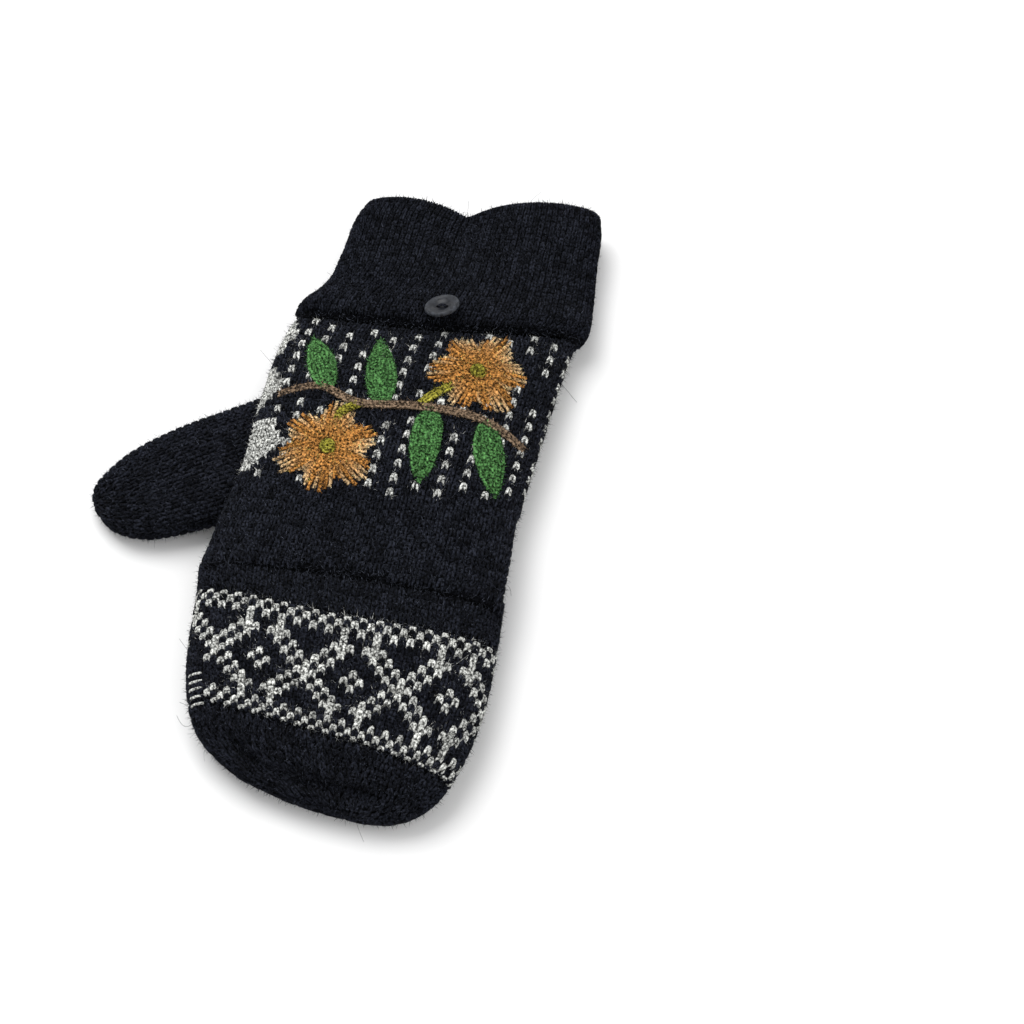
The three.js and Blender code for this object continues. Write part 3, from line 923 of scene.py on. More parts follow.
@dataclass(frozen=True)
class WoolFinish:
    """Soft wool that takes its colour from the yarn attribute."""

    name: str = "wool"
    grain: float = 1300.0  # fibres' noise per metre
    cloud: float = 90.0  # broad noise per metre
    depth: float = 0.00025  # of the bumps, in metres
    bumps: float = 0.7
    tint_range: float = 4.0
    cloud_range: float = 0.3
    darkest: float = 0.12
    sheen: float = 0.015
    sheen_roughness: float = 0.55
    shine: float = 0.03
    roughness: float = 0.92

    def make(self) -> bpy.types.Material:
        """Makes the finish.

        Returns:
            The material.
        """
        material, s, shader = new_material(self.name)
        colour = s.add("ShaderNodeAttribute", {"attribute_name": "yarn"}).outputs["Color"]
        place = s.add("ShaderNodeTexCoord").outputs["Object"]
        fine = s.add("ShaderNodeTexNoise", Vector=place, Scale=self.grain, Detail=3.0)
        broad = s.add("ShaderNodeTexNoise", Vector=place, Scale=self.cloud, Detail=2.0)
        fleck = s.math("MULTIPLY", s.math("SUBTRACT", fine.outputs[0], 0.5), 2 * self.tint_range)
        cloud = s.math("MULTIPLY", s.math("SUBTRACT", broad.outputs[0], 0.5), self.cloud_range)
        bright = s.math("ADD", 1.0, s.math("ADD", fleck, cloud))
        value = s.math("MAXIMUM", bright, self.darkest)
        tinted = s.add("ShaderNodeHueSaturation", Color=colour, Value=value).outputs[0]
        s.put(shader.inputs["Base Color"], tinted)
        shader.inputs["Roughness"].default_value = self.roughness
        shader.inputs["Sheen Weight"].default_value = self.sheen
        shader.inputs["Sheen Roughness"].default_value = self.sheen_roughness
        shader.inputs["Specular IOR Level"].default_value = self.shine
        grain = fine.outputs[0]
        bump = s.add("ShaderNodeBump", Strength=self.bumps, Distance=self.depth, Height=grain)
        s.put(shader.inputs["Normal"], bump.outputs[0])
        return material


@dataclass(frozen=True)
class ButtonFinish:
    """Cloudy slate plastic with a satin face, with painted shade in its dish and a painted highlight
    on its rim.
    """

    name: str = "slate_plastic"
    dark: tuple[float, float, float, float] = (0.006, 0.007, 0.010, 1.0)
    light: tuple[float, float, float, float] = (0.044, 0.049, 0.060, 1.0)
    cloud: float = 800.0  # noise per metre
    cloud_from: float = 0.36  # noise under this is dark
    cloud_gain: float = 3.4
    least: float = 0.12  # of the light colour
    gloss: float = 0.34  # the roughness where it is dark
    gloss_loss: float = 0.25
    shine: float = 0.3
    grain: float = 2600.0
    depth: float = 0.00006
    bumps: float = 0.25

    def make(self) -> bpy.types.Material:
        """Makes the finish.

        Returns:
            The material.
        """
        material, s, shader = new_material(self.name)
        place = s.add("ShaderNodeTexCoord").outputs["Object"]
        noise = s.add("ShaderNodeTexNoise", Vector=place, Scale=self.cloud, Detail=3.0).outputs[0]
        raised = s.math("MULTIPLY", s.math("SUBTRACT", noise, self.cloud_from), self.cloud_gain)
        # painted light: a stored number darkens the face towards the dish, painted shade in the
        # hollow, and lightens the rim, a painted highlight
        dish_shade_rim_light = s.add("ShaderNodeAttribute", {"attribute_name": "dish_shade_rim_light"}).outputs["Fac"]
        shown = s.math("MULTIPLY", s.math("MAXIMUM", raised, self.least), dish_shade_rim_light)
        cloud = s.math("MINIMUM", shown, 1.0)
        mixed = s.add("ShaderNodeMix", {"data_type": "RGBA"}, i0=cloud, i6=self.dark, i7=self.light)
        s.put(shader.inputs["Base Color"], mixed.outputs[2])
        rough = s.math("ADD", self.gloss, s.math("MULTIPLY", cloud, self.gloss_loss))
        s.put(shader.inputs["Roughness"], rough)
        shader.inputs["Specular IOR Level"].default_value = self.shine
        grain = s.add("ShaderNodeTexNoise", Vector=place, Scale=self.grain).outputs[0]
        bump = s.add("ShaderNodeBump", Strength=self.bumps, Distance=self.depth, Height=grain)
        s.put(shader.inputs["Normal"], bump.outputs[0])
        return material


@dataclass(frozen=True)
class FloorFinish:
    """Matt, near-white studio paper."""

    name: str = "studio_paper"
    colour: tuple[float, float, float, float] = (0.9, 0.9, 0.9, 1.0)
    roughness: float = 0.8

    def make(self) -> bpy.types.Material:
        """Makes the finish.

        Returns:
            The material.
        """
        material, s, shader = new_material(self.name)
        s.put(shader.inputs["Base Color"], self.colour)
        s.put(shader.inputs["Roughness"], self.roughness)
        return material


@dataclass
class Workshop:
    """The trees and finishes that all the sub-assemblies share."""

    stitches: GeometryTree
    fuzz: GeometryTree
    nap: GeometryTree
    wool: bpy.types.Material
    plastic: bpy.types.Material

    def keep(self, piece: bpy.types.Object, slot: Slot, nodes: tuple[str, ...] = ()) -> None:
        """Rides a finished piece on the body and reports it.

        Args:
            piece: the piece.
            slot: its material slot; it is not used.
            nodes: the solids that it stands for.
        """
        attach(piece, BODY)
        if nodes:
            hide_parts(*nodes)
        mesh = piece.data
        mesh.calc_loop_triangles()
        LOG.info("%s: %d triangles", piece.name, len(mesh.loop_triangles))


def build_wall(
    name: str,
    tube: KnitTube,
    starts: np.ndarray,
    ends: np.ndarray,
    rows: int,
    colour: Callable[[np.ndarray, np.ndarray], np.ndarray],
) -> bpy.types.Object:
    """Makes the closed, knitted wall under the stitches.

    Args:
        name: the piece's name.
        tube: the surface.
        starts: where the wall starts on each of the lines along the tube, in mm.
        ends: where it ends.
        rows: rows of faces along it.
        colour: gives the yarn colours of places (u, v) on its outside.

    Returns:
        The wall, with the attributes yarn and fuzz.
    """
    count = len(starts)
    u = np.arange(count) / count
    t = np.linspace(0, 1, rows + 1)
    v = starts[None, :] + (ends - starts)[None, :] * t[:, None]
    uu = np.broadcast_to(u, v.shape)
    outside = tube.point(uu, v, WALL_SINK)
    if tube.closed_end:
        shy = np.clip(v, 0, tube.length - WALL)
        inside = tube.point(uu, shy) - tube.read(tube.normals, uu, shy) * WALL
    else:
        inside = tube.point(uu, v, WALL)
    rim = (outside[0] + inside[0]) / 2 + unit(outside[0] - outside[1]) * NEAR_RIM
    layers = [*outside[::-1], rim, *inside]
    if not tube.closed_end:
        far = (outside[-1] + inside[-1]) / 2 + unit(outside[-1] - outside[-2]) * FAR_RIM
        layers.append(far)
    points = np.concatenate(layers)
    faces = []
    total = len(layers)
    way = 1 if tube.handed > 0 else -1
    for i in range(total - 1 if tube.closed_end else total):
        here, onward = i * count, (i + 1) % total * count
        for j in range(count):
            n = (j + 1) % count
            a, b, c, d = here + j, here + n, onward + j, onward + n
            faces.append((a, c, d, b) if way > 0 else (a, b, d, c))
    if tube.closed_end:
        near, end = range(count), range((total - 1) * count, total * count)
        faces.append(tuple(near[::way]))
        faces.append(tuple(end[::-way]))
    points[:, 2] = np.maximum(points[:, 2], WALL_LOW_Z)
    wall = new_mesh(name, points, faces)
    colours = np.tile(np.array(Yarn.BLACK.value), (len(points), 1))
    shown = (rows + 1) * count
    colours[:shown] = colour(uu[::-1].ravel(), v[::-1].ravel())
    # fibres grown from black wool take a lighter colour, a painted sheen
    colours = np.maximum(colours, Yarn.FUZZ_SHEEN.value)
    fuzz = np.zeros(len(points))
    fuzz[: shown + count] = 1.0
    paint(wall.data, colours)
    store(wall.data, "fuzz", fuzz)
    return wall


def paint_gap_shade(wall: bpy.types.Object) -> None:
    """Paints a wall darker than its black yarn, once its fibres are grown: painted shade in the gaps
    between stitches.

    Args:
        wall: the wall.
    """
    layer = wall.data.attributes["yarn"]
    count = len(wall.data.vertices)
    # painted shade: the wall between the stitches, darker than the black yarn
    shade = np.tile(np.array([*Yarn.BLACK.value, 1.0]) * GAP_SHADE, count)
    layer.data.foreach_set("color", shade.astype(np.float32))


@dataclass
class StitchPlan:
    """The places of a field of stitches, gathered course by course."""

    tube: KnitTube
    sink: float = STITCH_SINK
    thick: float = 2.3  # a stitch's thickness scale, in mm
    tone: float = 0.2  # how much one stitch is lighter or darker than another
    least_height: float = 0.35  # a stitch lower than this share of its course is left out
    seed: int = 7
    places: list = field(default_factory=list)

    def __post_init__(self) -> None:
        """Starts the draws."""
        self.rng = np.random.default_rng(self.seed)

    def course(
        self,
        v: float,
        pitch: float,
        columns: int,
        colour: Callable[[np.ndarray, np.ndarray, np.ndarray], np.ndarray],
        keep: Callable[[np.ndarray, np.ndarray, np.ndarray], np.ndarray] | None = None,
        phase: float = 0.0,
    ) -> None:
        """Adds one course.

        Args:
            v: place along the tube, in mm.
            pitch: height of the course, in mm.
            columns: stitches round the tube.
            colour: gives the colours for column numbers, u and points.
            keep: says which stitches are made, from u, v and points.
            phase: turns the columns, in stitches.
        """
        tube = self.tube
        number = np.arange(columns)
        u = (number + 0.5 + phase) / columns
        here = tube.bent(u, np.full(columns, v))
        before = tube.bent(u, np.full(columns, v - pitch / 2))
        after = tube.bent(u, np.full(columns, v + pitch / 2))
        points = tube.point(u, here, self.sink)
        along = tube.point(u, before, self.sink) - tube.point(u, after, self.sink)
        side = tube.point(u - 0.5 / columns, here) - tube.point(u + 0.5 / columns, here)
        normal = unit(tube.read(tube.normals, u, here))
        up = unit(along)
        right = unit(np.cross(up, normal))
        normal = np.cross(right, up)
        width = np.abs((side * right).sum(axis=1))
        height = np.linalg.norm(along, axis=1)
        turn = np.stack(
            [
                np.arctan2(up[:, 2], normal[:, 2]),
                -np.arcsin(np.clip(right[:, 2], -1, 1)),
                np.arctan2(right[:, 1], right[:, 0]),
            ],
            axis=1,
        )
        size = np.stack([width, height, np.full(columns, self.thick)], axis=1)
        colours = colour(number, u, points)
        spread = np.where(colours.max(axis=1) < DARK_YARN, DARK_SPREAD, 1.0) * self.tone
        colours = colours * (1 + spread * self.rng.uniform(-1, 1, columns))[:, None]
        chosen = np.ones(columns, bool) if keep is None else keep(u, here, points)
        chosen &= height > self.least_height * pitch
        self.places.append((points[chosen], turn[chosen], size[chosen], colours[chosen]))

    def stitch(self, shop: Workshop, name: str, **values: object) -> bpy.types.Object:
        """Knits the stitches.

        Args:
            shop: the shared trees and finishes.
            name: the piece's name.
            values: inputs of the stitch tree, by name with _ for a space.

        Returns:
            The piece.
        """
        points, turn, size, colours = (np.concatenate(part) for part in zip(*self.places))
        seeds = new_mesh(name + "_seeds", points, [])
        for title, data in (("turn", turn), ("size", size * MM)):
            layer = seeds.data.attributes.new(title, "FLOAT_VECTOR", "POINT")
            layer.data.foreach_set("vector", data.astype(np.float32).ravel())
        paint(seeds.data, colours)
        given = {key.replace("_", " "): value for key, value in values.items()}
        given["Material"] = shop.wool
        piece = shop.stitches.run(seeds, name, given)
        bpy.data.objects.remove(seeds)
        rest_on_floor(piece.data)
        return piece


def rest_on_floor(mesh: bpy.types.Mesh) -> None:
    """Flattens what would sink into the surface that the mitten lies on.

    Args:
        mesh: a mesh in metres, changed in place.
    """
    places = np.empty(len(mesh.vertices) * 3, np.float32)
    mesh.vertices.foreach_get("co", places)
    places = places.reshape(-1, 3)
    places[:, 2] = np.maximum(places[:, 2], LOW_Z * MM)
    mesh.vertices.foreach_set("co", places.ravel())
    mesh.update()


def plain(yarn: Yarn) -> Callable[..., np.ndarray]:
    """Returns a colouring that gives every place one yarn."""
    return lambda first, *rest: np.tile(np.array(yarn.value), (len(np.atleast_1d(first)), 1))


@dataclass(frozen=True)
class Fuzz:
    """The short nap and the few long stray hairs that stand out of the wool, in mm."""

    density: float  # short fibres for each square metre
    seed: int
    length: float = 2.8  # the nap's usual length
    root_radius: float = 0.14
    lean: float = 1.15
    stray_share: float = 0.003
    stray_length: float = 6.5
    stray_radius: float = 0.05
    stray_curl: float = 1.3
    stray_lean: float = 1.4
    stray_segments: int = 6
    stray_seed: int = 100  # added to the nap's seed

    def short(self, shop: Workshop, surface: bpy.types.Object, name: str) -> bpy.types.Object:
        """Grows the short nap.

        Args:
            shop: the shared trees and finishes.
            surface: a piece with the attributes yarn and fuzz.
            name: the new piece's name.

        Returns:
            The nap.
        """
        values = {
            "Density": self.density,
            "Length": self.length * MM,
            "Root Radius": self.root_radius * MM,
            "Lean": self.lean,
            "Seed": self.seed,
            "Material": shop.wool,
        }
        return shop.nap.run(surface, name, values)

    def strays(self, shop: Workshop, surface: bpy.types.Object, name: str) -> bpy.types.Object:
        """Grows the stray hairs.

        Args:
            shop: the shared trees and finishes.
            surface: a piece with the attributes yarn and fuzz.
            name: the new piece's name.

        Returns:
            The hairs.
        """
        values = {
            "Density": self.density * self.stray_share,
            "Length": self.stray_length * MM,
            "Hair Radius": self.stray_radius * MM,
            "Curl": self.stray_curl,
            "Lean": self.stray_lean,
            "Segments": self.stray_segments,
            "Seed": self.seed + self.stray_seed,
            "Material": shop.wool,
        }
        return shop.fuzz.run(surface, name, values)

    def cover(self, shop: Workshop, wall: bpy.types.Object, name: str) -> None:
        """Grows both on a wall, which then takes painted shade, darker than its black yarn.

        Args:
            shop: the shared trees and finishes.
            wall: the wall.
            name: the nap's name.
        """
        for fibres in (self.short(shop, wall, name), self.strays(shop, wall, name + "_strays")):
            rest_on_floor(fibres.data)
            shop.keep(fibres, Slot.BLACK_WOOL)
        # painted shade on the wall in the gaps between the stitches
        paint_gap_shade(wall)


@dataclass
class Cuff:
    """The ribbed cuff, which sags between two lobes and bags over the wrist."""

    columns: int = 96
    pitch: float = 2.7
    first: float = 1.9  # the first course's place, in mm from the edge
    end_gap: float = 1.4
    rib_thick: float = 2.6
    wall_lines: int = 120
    wall_rows: int = 36
    edge_points: int = 384
    edge_place: float = 0.6
    edge_sink: float = 1.2
    edge_radius: float = 1.3
    edge_twists: int = 96
    fuzz: Fuzz = Fuzz(1150000.0, 11, 2.3)
    valley_x: float = 3.0
    valley_width: float = 14.0
    valley_depth: float = 14.5
    valley_round: float = 1.2
    valley_y: float = 162.0
    valley_reach: float = 48.0

    def sag(self, points: np.ndarray) -> np.ndarray:
        """Works out how far the upper layer hangs.

        Args:
            points: points in mm.

        Returns:
            The depth there.
        """
        x, y = points[:, 0], points[:, 1]
        aside = np.hypot(x - self.valley_x, self.valley_round) - self.valley_round
        across = np.exp(-aside / self.valley_width)
        return self.valley_depth * across * smooth(1 - (self.valley_y - y) / self.valley_reach)

    def build(self, shop: Workshop) -> None:
        """Builds the wall and its ribs of narrow stitches.

        Args:
            shop: the shared trees and finishes.
        """
        tube = KnitTube(CUFF_COURSES, self.sag)
        starts = np.zeros(self.wall_lines)
        ends = np.full(self.wall_lines, tube.length)
        wall = build_wall("cuff_wall", tube, starts, ends, self.wall_rows, plain(Yarn.BLACK))
        wall.data.materials.append(shop.wool)
        plan = StitchPlan(tube, thick=self.rib_thick)
        for k in range(int((tube.length - self.end_gap) / self.pitch)):
            place = self.first + k * self.pitch
            plan.course(place, self.pitch, self.columns, plain(Yarn.BLACK))
        ribs = plan.stitch(
            shop,
            "cuff_ribs",
            Leg_Spread=0.3,
            Yarn_Radius=0.25,
            Leg_Segments=3,
            Leg_Reach=0.7,
            Yarn_Sides=4,
        )
        u = np.arange(self.edge_points) / self.edge_points
        rim = tube.point(u, np.full(self.edge_points, self.edge_place), self.edge_sink)
        edge = twisted_loop("cuff_edge", rim, self.edge_radius, self.edge_twists, shop.wool)
        shop.keep(wall, Slot.BLACK_WOOL, ("cuff",))
        shop.keep(ribs, Slot.BLACK_WOOL)
        shop.keep(edge, Slot.BLACK_WOOL)
        self.fuzz.cover(shop, wall, "cuff_fuzz")


@dataclass
class Hand:
    """The hand: a patterned back, a checked palm and a plain band at the knuckles."""

    columns: int = 84
    pitch: float = 2.95
    first: float = 1.2  # the first course's place, in mm from the wrist
    end_gap: float = 0.8
    wall_lines: int = 132
    wall_rows: int = 44
    fuzz: Fuzz = Fuzz(1250000.0, 12)
    panel_end: float = 73.8  # where the plain band starts, in mm from the wrist
    fleck_chance: float = 0.82
    fleck_step: int = 6  # stitches from one fleck to the next
    fleck_shift: int = 3  # and from one course to the next
    check_size: int = 2
    draw_rows: int = 60
    check_end: float = 88.0
    palm_from: float = 0.535  # where the back meets the palm, round the hand
    wedge_length: float = 24.0  # three pale wedges follow one another down the thumb's side
    wedge_edges: tuple[float, ...] = (0.445, 0.432, 0.402)  # how far round they reach on top
    wedge_side: float = 0.49
    wedge_notch: float = 0.35  # a wedge narrows over this share of its length, then widens
    wedge_drop: float = 0.035
    wedge_rise: float = 0.062
    seam_gap: float = 0.9  # the back's stitches end this far behind the knuckle seam
    tuck_in: float = 4.5  # the palm's stitches end this far inside the cap
    seed: int = 41

    def __post_init__(self) -> None:
        """Draws which flecks show."""
        rng = np.random.default_rng(self.seed)
        self.draws = rng.random((self.draw_rows, self.columns)) < self.fleck_chance

    def make_tube(self) -> KnitTube:
        """Returns the hand's surface."""
        bend = CourseBend(at=(0.0, 75.0, 112.0), left=(0.0, 6.5, 2.0), right=(0.0, 9.6, 3.0))
        return KnitTube(HAND_COURSES, bend=bend)

    def in_wedge(self, u: np.ndarray, v: np.ndarray) -> np.ndarray:
        """Finds the places in a wedge.

        Args:
            u: places round the hand.
            v: the places of their courses along it, in mm.

        Returns:
            True for those in a wedge.
        """
        number = np.clip(v // self.wedge_length, 0, len(self.wedge_edges) - 1).astype(int)
        t = v / self.wedge_length - number
        notch = self.wedge_notch
        before = self.wedge_drop * (1 - t / notch)
        after = self.wedge_rise * (t - notch) / (1 - notch)
        reach = np.array(self.wedge_edges)[number] + np.where(t < notch, before, after)
        return (u > reach) & (u < self.wedge_side) & (0 < t) & (t < 1.0)

    def colours(self, course: np.ndarray, u: np.ndarray) -> np.ndarray:
        """Gives the yarns of the back's flecks and wedges, and of the palm's check.

        Args:
            course: course numbers from the wrist.
            u: places round the hand.

        Returns:
            The colours there.
        """
        number = np.clip((u * self.columns).astype(int), 0, self.columns - 1)
        course = np.clip(course, 0, len(self.draws) - 1)
        v = course * self.pitch + self.first
        staggered = (number + course * self.fleck_shift) % self.fleck_step == 0
        fleck = staggered & self.draws[course, number] & (v < self.panel_end)
        check = (number // self.check_size + course // self.check_size) % 2 == 0
        back = u < self.palm_from
        pale = np.where(back, fleck | self.in_wedge(u, v), check & (v < self.check_end))
        made = np.tile(np.array(Yarn.BLACK.value), (len(u), 1))
        made[pale] = Yarn.CREAM.value
        return made

    def build(self, shop: Workshop) -> bpy.types.Object:
        """Builds the wall and the stitches of the back and the palm.

        Args:
            shop: the shared trees and finishes.

        Returns:
            The hand's wall, which the embroidery lies on.
        """
        tube = self.make_tube()
        u = np.arange(self.wall_lines) / self.wall_lines
        ends = tube.solve(u, seam_level)

        def wall_colour(u: np.ndarray, v: np.ndarray) -> np.ndarray:
            """Returns the yarn colours of places on the wall."""
            bent = v + tube.bend.offset(v, tube.facts(u, v)[0])
            return self.colours(np.round((bent - self.first) / self.pitch).astype(int), u)

        starts = np.zeros(self.wall_lines)
        wall = build_wall("hand_wall", tube, starts, ends, self.wall_rows, wall_colour)
        wall.data.materials.append(shop.wool)
        back, palm = StitchPlan(tube), StitchPlan(tube)
        limit = tube.length - self.end_gap
        for k in range(int((tube.length + HEM_REACH + 1) / self.pitch)):

            def colour(number: np.ndarray, u: np.ndarray, points: np.ndarray) -> np.ndarray:
                """Returns the colours of this course's stitches."""
                return self.colours(np.full(len(u), k), u)

            def on_back(u: np.ndarray, v: np.ndarray, points: np.ndarray) -> np.ndarray:
                """Returns True for stitches of the back, up to the knuckles."""
                behind = seam_level(points) < -self.seam_gap
                return (u < self.palm_from) & behind & (v < limit)

            def on_palm(u: np.ndarray, v: np.ndarray, points: np.ndarray) -> np.ndarray:
                """Returns True for stitches of the palm, to a little way inside the cap."""
                outside = hem_level(points) < self.tuck_in
                return (u >= self.palm_from) & outside & (v < limit)

            place = self.first + k * self.pitch
            back.course(place, self.pitch, self.columns, colour, on_back)
            palm.course(place, self.pitch, self.columns, colour, on_palm)
        back_piece = back.stitch(shop, "hand_back_stitches", Leg_Segments=3)
        palm_piece = palm.stitch(shop, "palm_stitches", Leg_Segments=3, Yarn_Sides=4)
        shop.keep(wall, Slot.BLACK_WOOL, ("hand",))
        shop.keep(back_piece, Slot.PATTERN_WOOL)
        shop.keep(palm_piece, Slot.PATTERN_WOOL)
        self.fuzz.cover(shop, wall, "hand_fuzz")
        return wall


@dataclass
class Thumb:
    """The plain thumb, which leaves the hand at its side."""

    columns: int = 30
    pitch: float = 2.95
    stitch_width: float = 2.8
    first: float = 0.8
    end_gap: float = 1.2
    wall_lines: int = 64
    wall_rows: int = 34
    fuzz: Fuzz = Fuzz(1350000.0, 13, 2.5)
    hand_side_x: float = -47.0
    root_gap: float = 1.0  # its stitches start this far inside the hand's side
    least_columns: int = 6

    def level(self, points: np.ndarray) -> np.ndarray:
        """Returns how far points lie outside the hand's side."""
        return self.hand_side_x - points[..., 0]

    def build(self, shop: Workshop) -> None:
        """Builds the wall and its stitches.

        Args:
            shop: the shared trees and finishes.
        """
        tube = KnitTube(THUMB_COURSES, closed_end=True)
        u = np.arange(self.wall_lines) / self.wall_lines
        starts = tube.solve(u, self.level)
        ends = np.full(self.wall_lines, tube.length)
        wall = build_wall("thumb_wall", tube, starts, ends, self.wall_rows, plain(Yarn.BLACK))
        wall.data.materials.append(shop.wool)
        plan = StitchPlan(tube)
        v = self.first
        while v < tube.length - self.end_gap:
            girth = ring_length(tube, v)
            columns = max(self.least_columns, round(min(girth / self.stitch_width, self.columns)))
            plan.course(
                v,
                self.pitch,
                columns,
                plain(Yarn.BLACK),
                lambda u, w, p: self.level(p) > -self.root_gap,
            )
            v += self.pitch
        stitches = plan.stitch(shop, "thumb_stitches", Leg_Segments=3, Yarn_Sides=4)
        shop.keep(wall, Slot.BLACK_WOOL, ("thumb",))
        shop.keep(stitches, Slot.BLACK_WOOL)
        self.fuzz.cover(shop, wall, "thumb_fuzz")


def ring_length(tube: KnitTube, v: float) -> float:
    """Measures a tube's girth.

    Args:
        tube: the tube.
        v: place along it, in mm.

    Returns:
        The girth in mm.
    """
    count = 96
    ring = tube.point(np.arange(count) / count, np.full(count, v))
    return float(np.linalg.norm(ring - np.roll(ring, 1, axis=0), axis=1).sum())


# The band's repeat of twelve stitches by seventeen courses, from the cuff's side:
# rows of flecks, then crossing diagonals round small flowers. X is the pale yarn.
BAND_CHART = (
    "X.X.X.X.X.X.",
    ".X.X.X.X.X.X",
    "X.X.X.X.X.X.",
    "..X.......X.",
    ".XXX.....XXX",
    "..X.X...X.X.",
    "...X.X.X.X..",
    "X...X.X.X...",
    ".X...XXX...X",
    "X...X.X.X...",
    "...X.X.X.X..",
    "..X.X...X.X.",
    ".XXX.....XXX",
    "..X.......X.",
    "X.X.X.X.X.X.",
    ".X.X.X.X.X.X",
    "X.X.X.X.X.X.",
)


@dataclass
class Cap:
    """The fold-back cap: an open hem, a patterned band and a plain tip."""

    columns: int = 84
    hem_courses: int = 11
    band_rows: tuple[float, ...] = (0, 7, 9, 16)  # these rows of the chart lie
    band_places: tuple[float, ...] = (34.0, 54.9, 59.8, 75.4)  # here along the tube, in mm
    hem_pitch: float = 3.0
    tip_pitch: float = 2.8
    tip_stitch_width: float = 2.8
    least_columns: int = 8
    tip_gap: float = 0.8
    hem_gap: float = 0.9  # the first stitches start this far inside the open edge
    half_step: float = -0.5  # turns the columns, in stitches
    band_thick: float = 2.5
    wall_lines: int = 120
    wall_rows: int = 52
    fuzz: Fuzz = Fuzz(1350000.0, 14)
    phase: int = 6  # the chart's first column lies at column 18
    closed_from: int = 9  # row of the chart
    closed_edges: tuple[float, float] = (0.444, 0.53)  # round the cap
    bars: int = 5
    bar_from: float = 62.0
    bar_pitch: float = 2.7
    bar_u: float = 0.449
    bar_reach: float = 0.03  # round the cap
    bar_rise: float = 0.9
    bar_stagger: tuple[float, float] = (0.5, 0.4)
    bar_radius: float = 0.5
    bar_lift: float = 0.25
    bar_sink: float = 0.5  # at both ends
    fold_line: tuple[tuple[float, float], ...] = (  # the tip's slack wool is folded here
        (-25.0, -66.0),
        (-19.7, -69.9),
        (-12.0, -73.9),
        (-6.0, -75.7),
        (2.0, -76.4),
        (16.0, -76.5),
        (29.0, -76.2),
        (37.0, -74.8),
    )
    fold_depth: float = 3.8
    fold_width: float = 1.9
    fold_lip: float = 1.1  # how far the wool swells beyond the fold
    lip_place: float = 3.2
    lip_width: float = 1.6
    fold_fade: float = 1.6  # at its ends, in corners of its line
    fold_low_z: float = 6.0

    def fold(self, points: np.ndarray) -> np.ndarray:
        """Works out how deep the fold across the tip is drawn in.

        Args:
            points: the grid's points, by ring and sample.

        Returns:
            The depths, below 0 where the wool swells.
        """
        corners = np.array(self.fold_line)
        t = np.linspace(0, len(corners) - 1, 90)
        line = np.stack([np.interp(t, range(len(corners)), corners[:, k]) for k in (0, 1)], axis=1)
        away = points[..., None, :2] - line
        gaps = np.hypot(away[..., 0], away[..., 1])
        near = gaps.argmin(axis=-1)
        gap = gaps.min(axis=-1)
        ends = smooth(np.minimum(t[near], t[-1] - t[near]) / self.fold_fade)
        beyond = np.take_along_axis(away[..., 1], near[..., None], axis=-1)[..., 0] < 0
        groove = self.fold_depth * np.exp(-((gap / self.fold_width) ** 2))
        lip = self.fold_lip * np.exp(-(((gap - self.lip_place) / self.lip_width) ** 2)) * beyond
        return (groove - lip) * ends * smooth((points[..., 2] - self.fold_low_z) / 3.0)

    def make_tube(self) -> KnitTube:
        """Makes the cap's surface, with the fold across its tip.

        Returns:
            The surface.
        """
        bend = CourseBend(
            at=(16.0, 34.0, 58.0, 74.6, 90.0),
            left=(1.0, 6.0, 8.0, 5.0, 0.0),
            right=(0.0, 2.5, 4.0, -3.5, 0.0),
        )
        tube = KnitTube(CAP_COURSES, bend=bend, closed_end=True)
        tube.rings = tube.rings - tube.normals * self.fold(tube.rings)[..., None]
        tube.find_normals()
        return tube

    def closes(self, u: np.ndarray, row: np.ndarray) -> np.ndarray:
        """Returns True where the band is closed with plain stitches at the thumb's side."""
        low, high = self.closed_edges
        return (u > low) & (u < high) & (row >= self.closed_from)

    def close_side(self, shop: Workshop, tube: KnitTube) -> None:
        """Sews the short pale bars that close the band at the thumb's side.

        Args:
            shop: the shared trees and finishes.
            tube: the cap's surface.
        """
        points, faces = [], []
        t = np.linspace(0, 1, 7)
        u = self.bar_u + self.bar_reach * t
        sunk = (2 * t - 1) ** 4
        down, back = self.bar_stagger
        for k in range(self.bars):
            odd = k % 2
            v = self.bar_from + self.bar_pitch * k + down * odd
            path = tube.point(u, v + self.bar_rise * t - back * odd, -self.bar_lift)
            normals = tube.read(tube.normals, u, np.full(len(t), v))
            path = path - normals * self.bar_sink * sunk[:, None]
            add_tube(path, self.bar_radius, 6, points, faces, (0.0, 0.0, 1.0))
        bars = new_mesh("side_seam_bars", np.array(points), faces)
        paint(bars.data, plain(Yarn.CREAM)(np.zeros(len(points))))
        bars.data.materials.append(shop.wool)
        shop.keep(bars, Slot.PATTERN_WOOL)

    def chart(self, row: int, number: np.ndarray) -> np.ndarray:
        """Returns True where the band's chart has the pale yarn."""
        repeat = BAND_CHART[row]
        return np.array([repeat[(n + self.phase) % len(repeat)] == "X" for n in number])

    def band_colour(self, row: int) -> Callable[..., np.ndarray]:
        """Makes the colouring of one of the band's courses.

        Args:
            row: the course's row in the chart.

        Returns:
            The colouring.
        """

        def colour(number: np.ndarray, u: np.ndarray, points: np.ndarray) -> np.ndarray:
            """Returns the colours of the course's stitches, by number and u."""
            made = np.tile(np.array(Yarn.BLACK.value), (len(number), 1))
            pale = self.chart(row, number) & ~self.closes(u, np.full(len(u), row))
            made[pale] = Yarn.CREAM.value
            return made

        return colour

    def build(self, shop: Workshop) -> None:
        """Builds the wall, the band and the plain stitches of hem and tip.

        Args:
            shop: the shared trees and finishes.
        """
        tube = self.make_tube()
        u = np.arange(self.wall_lines) / self.wall_lines
        starts = tube.solve(u, hem_level)

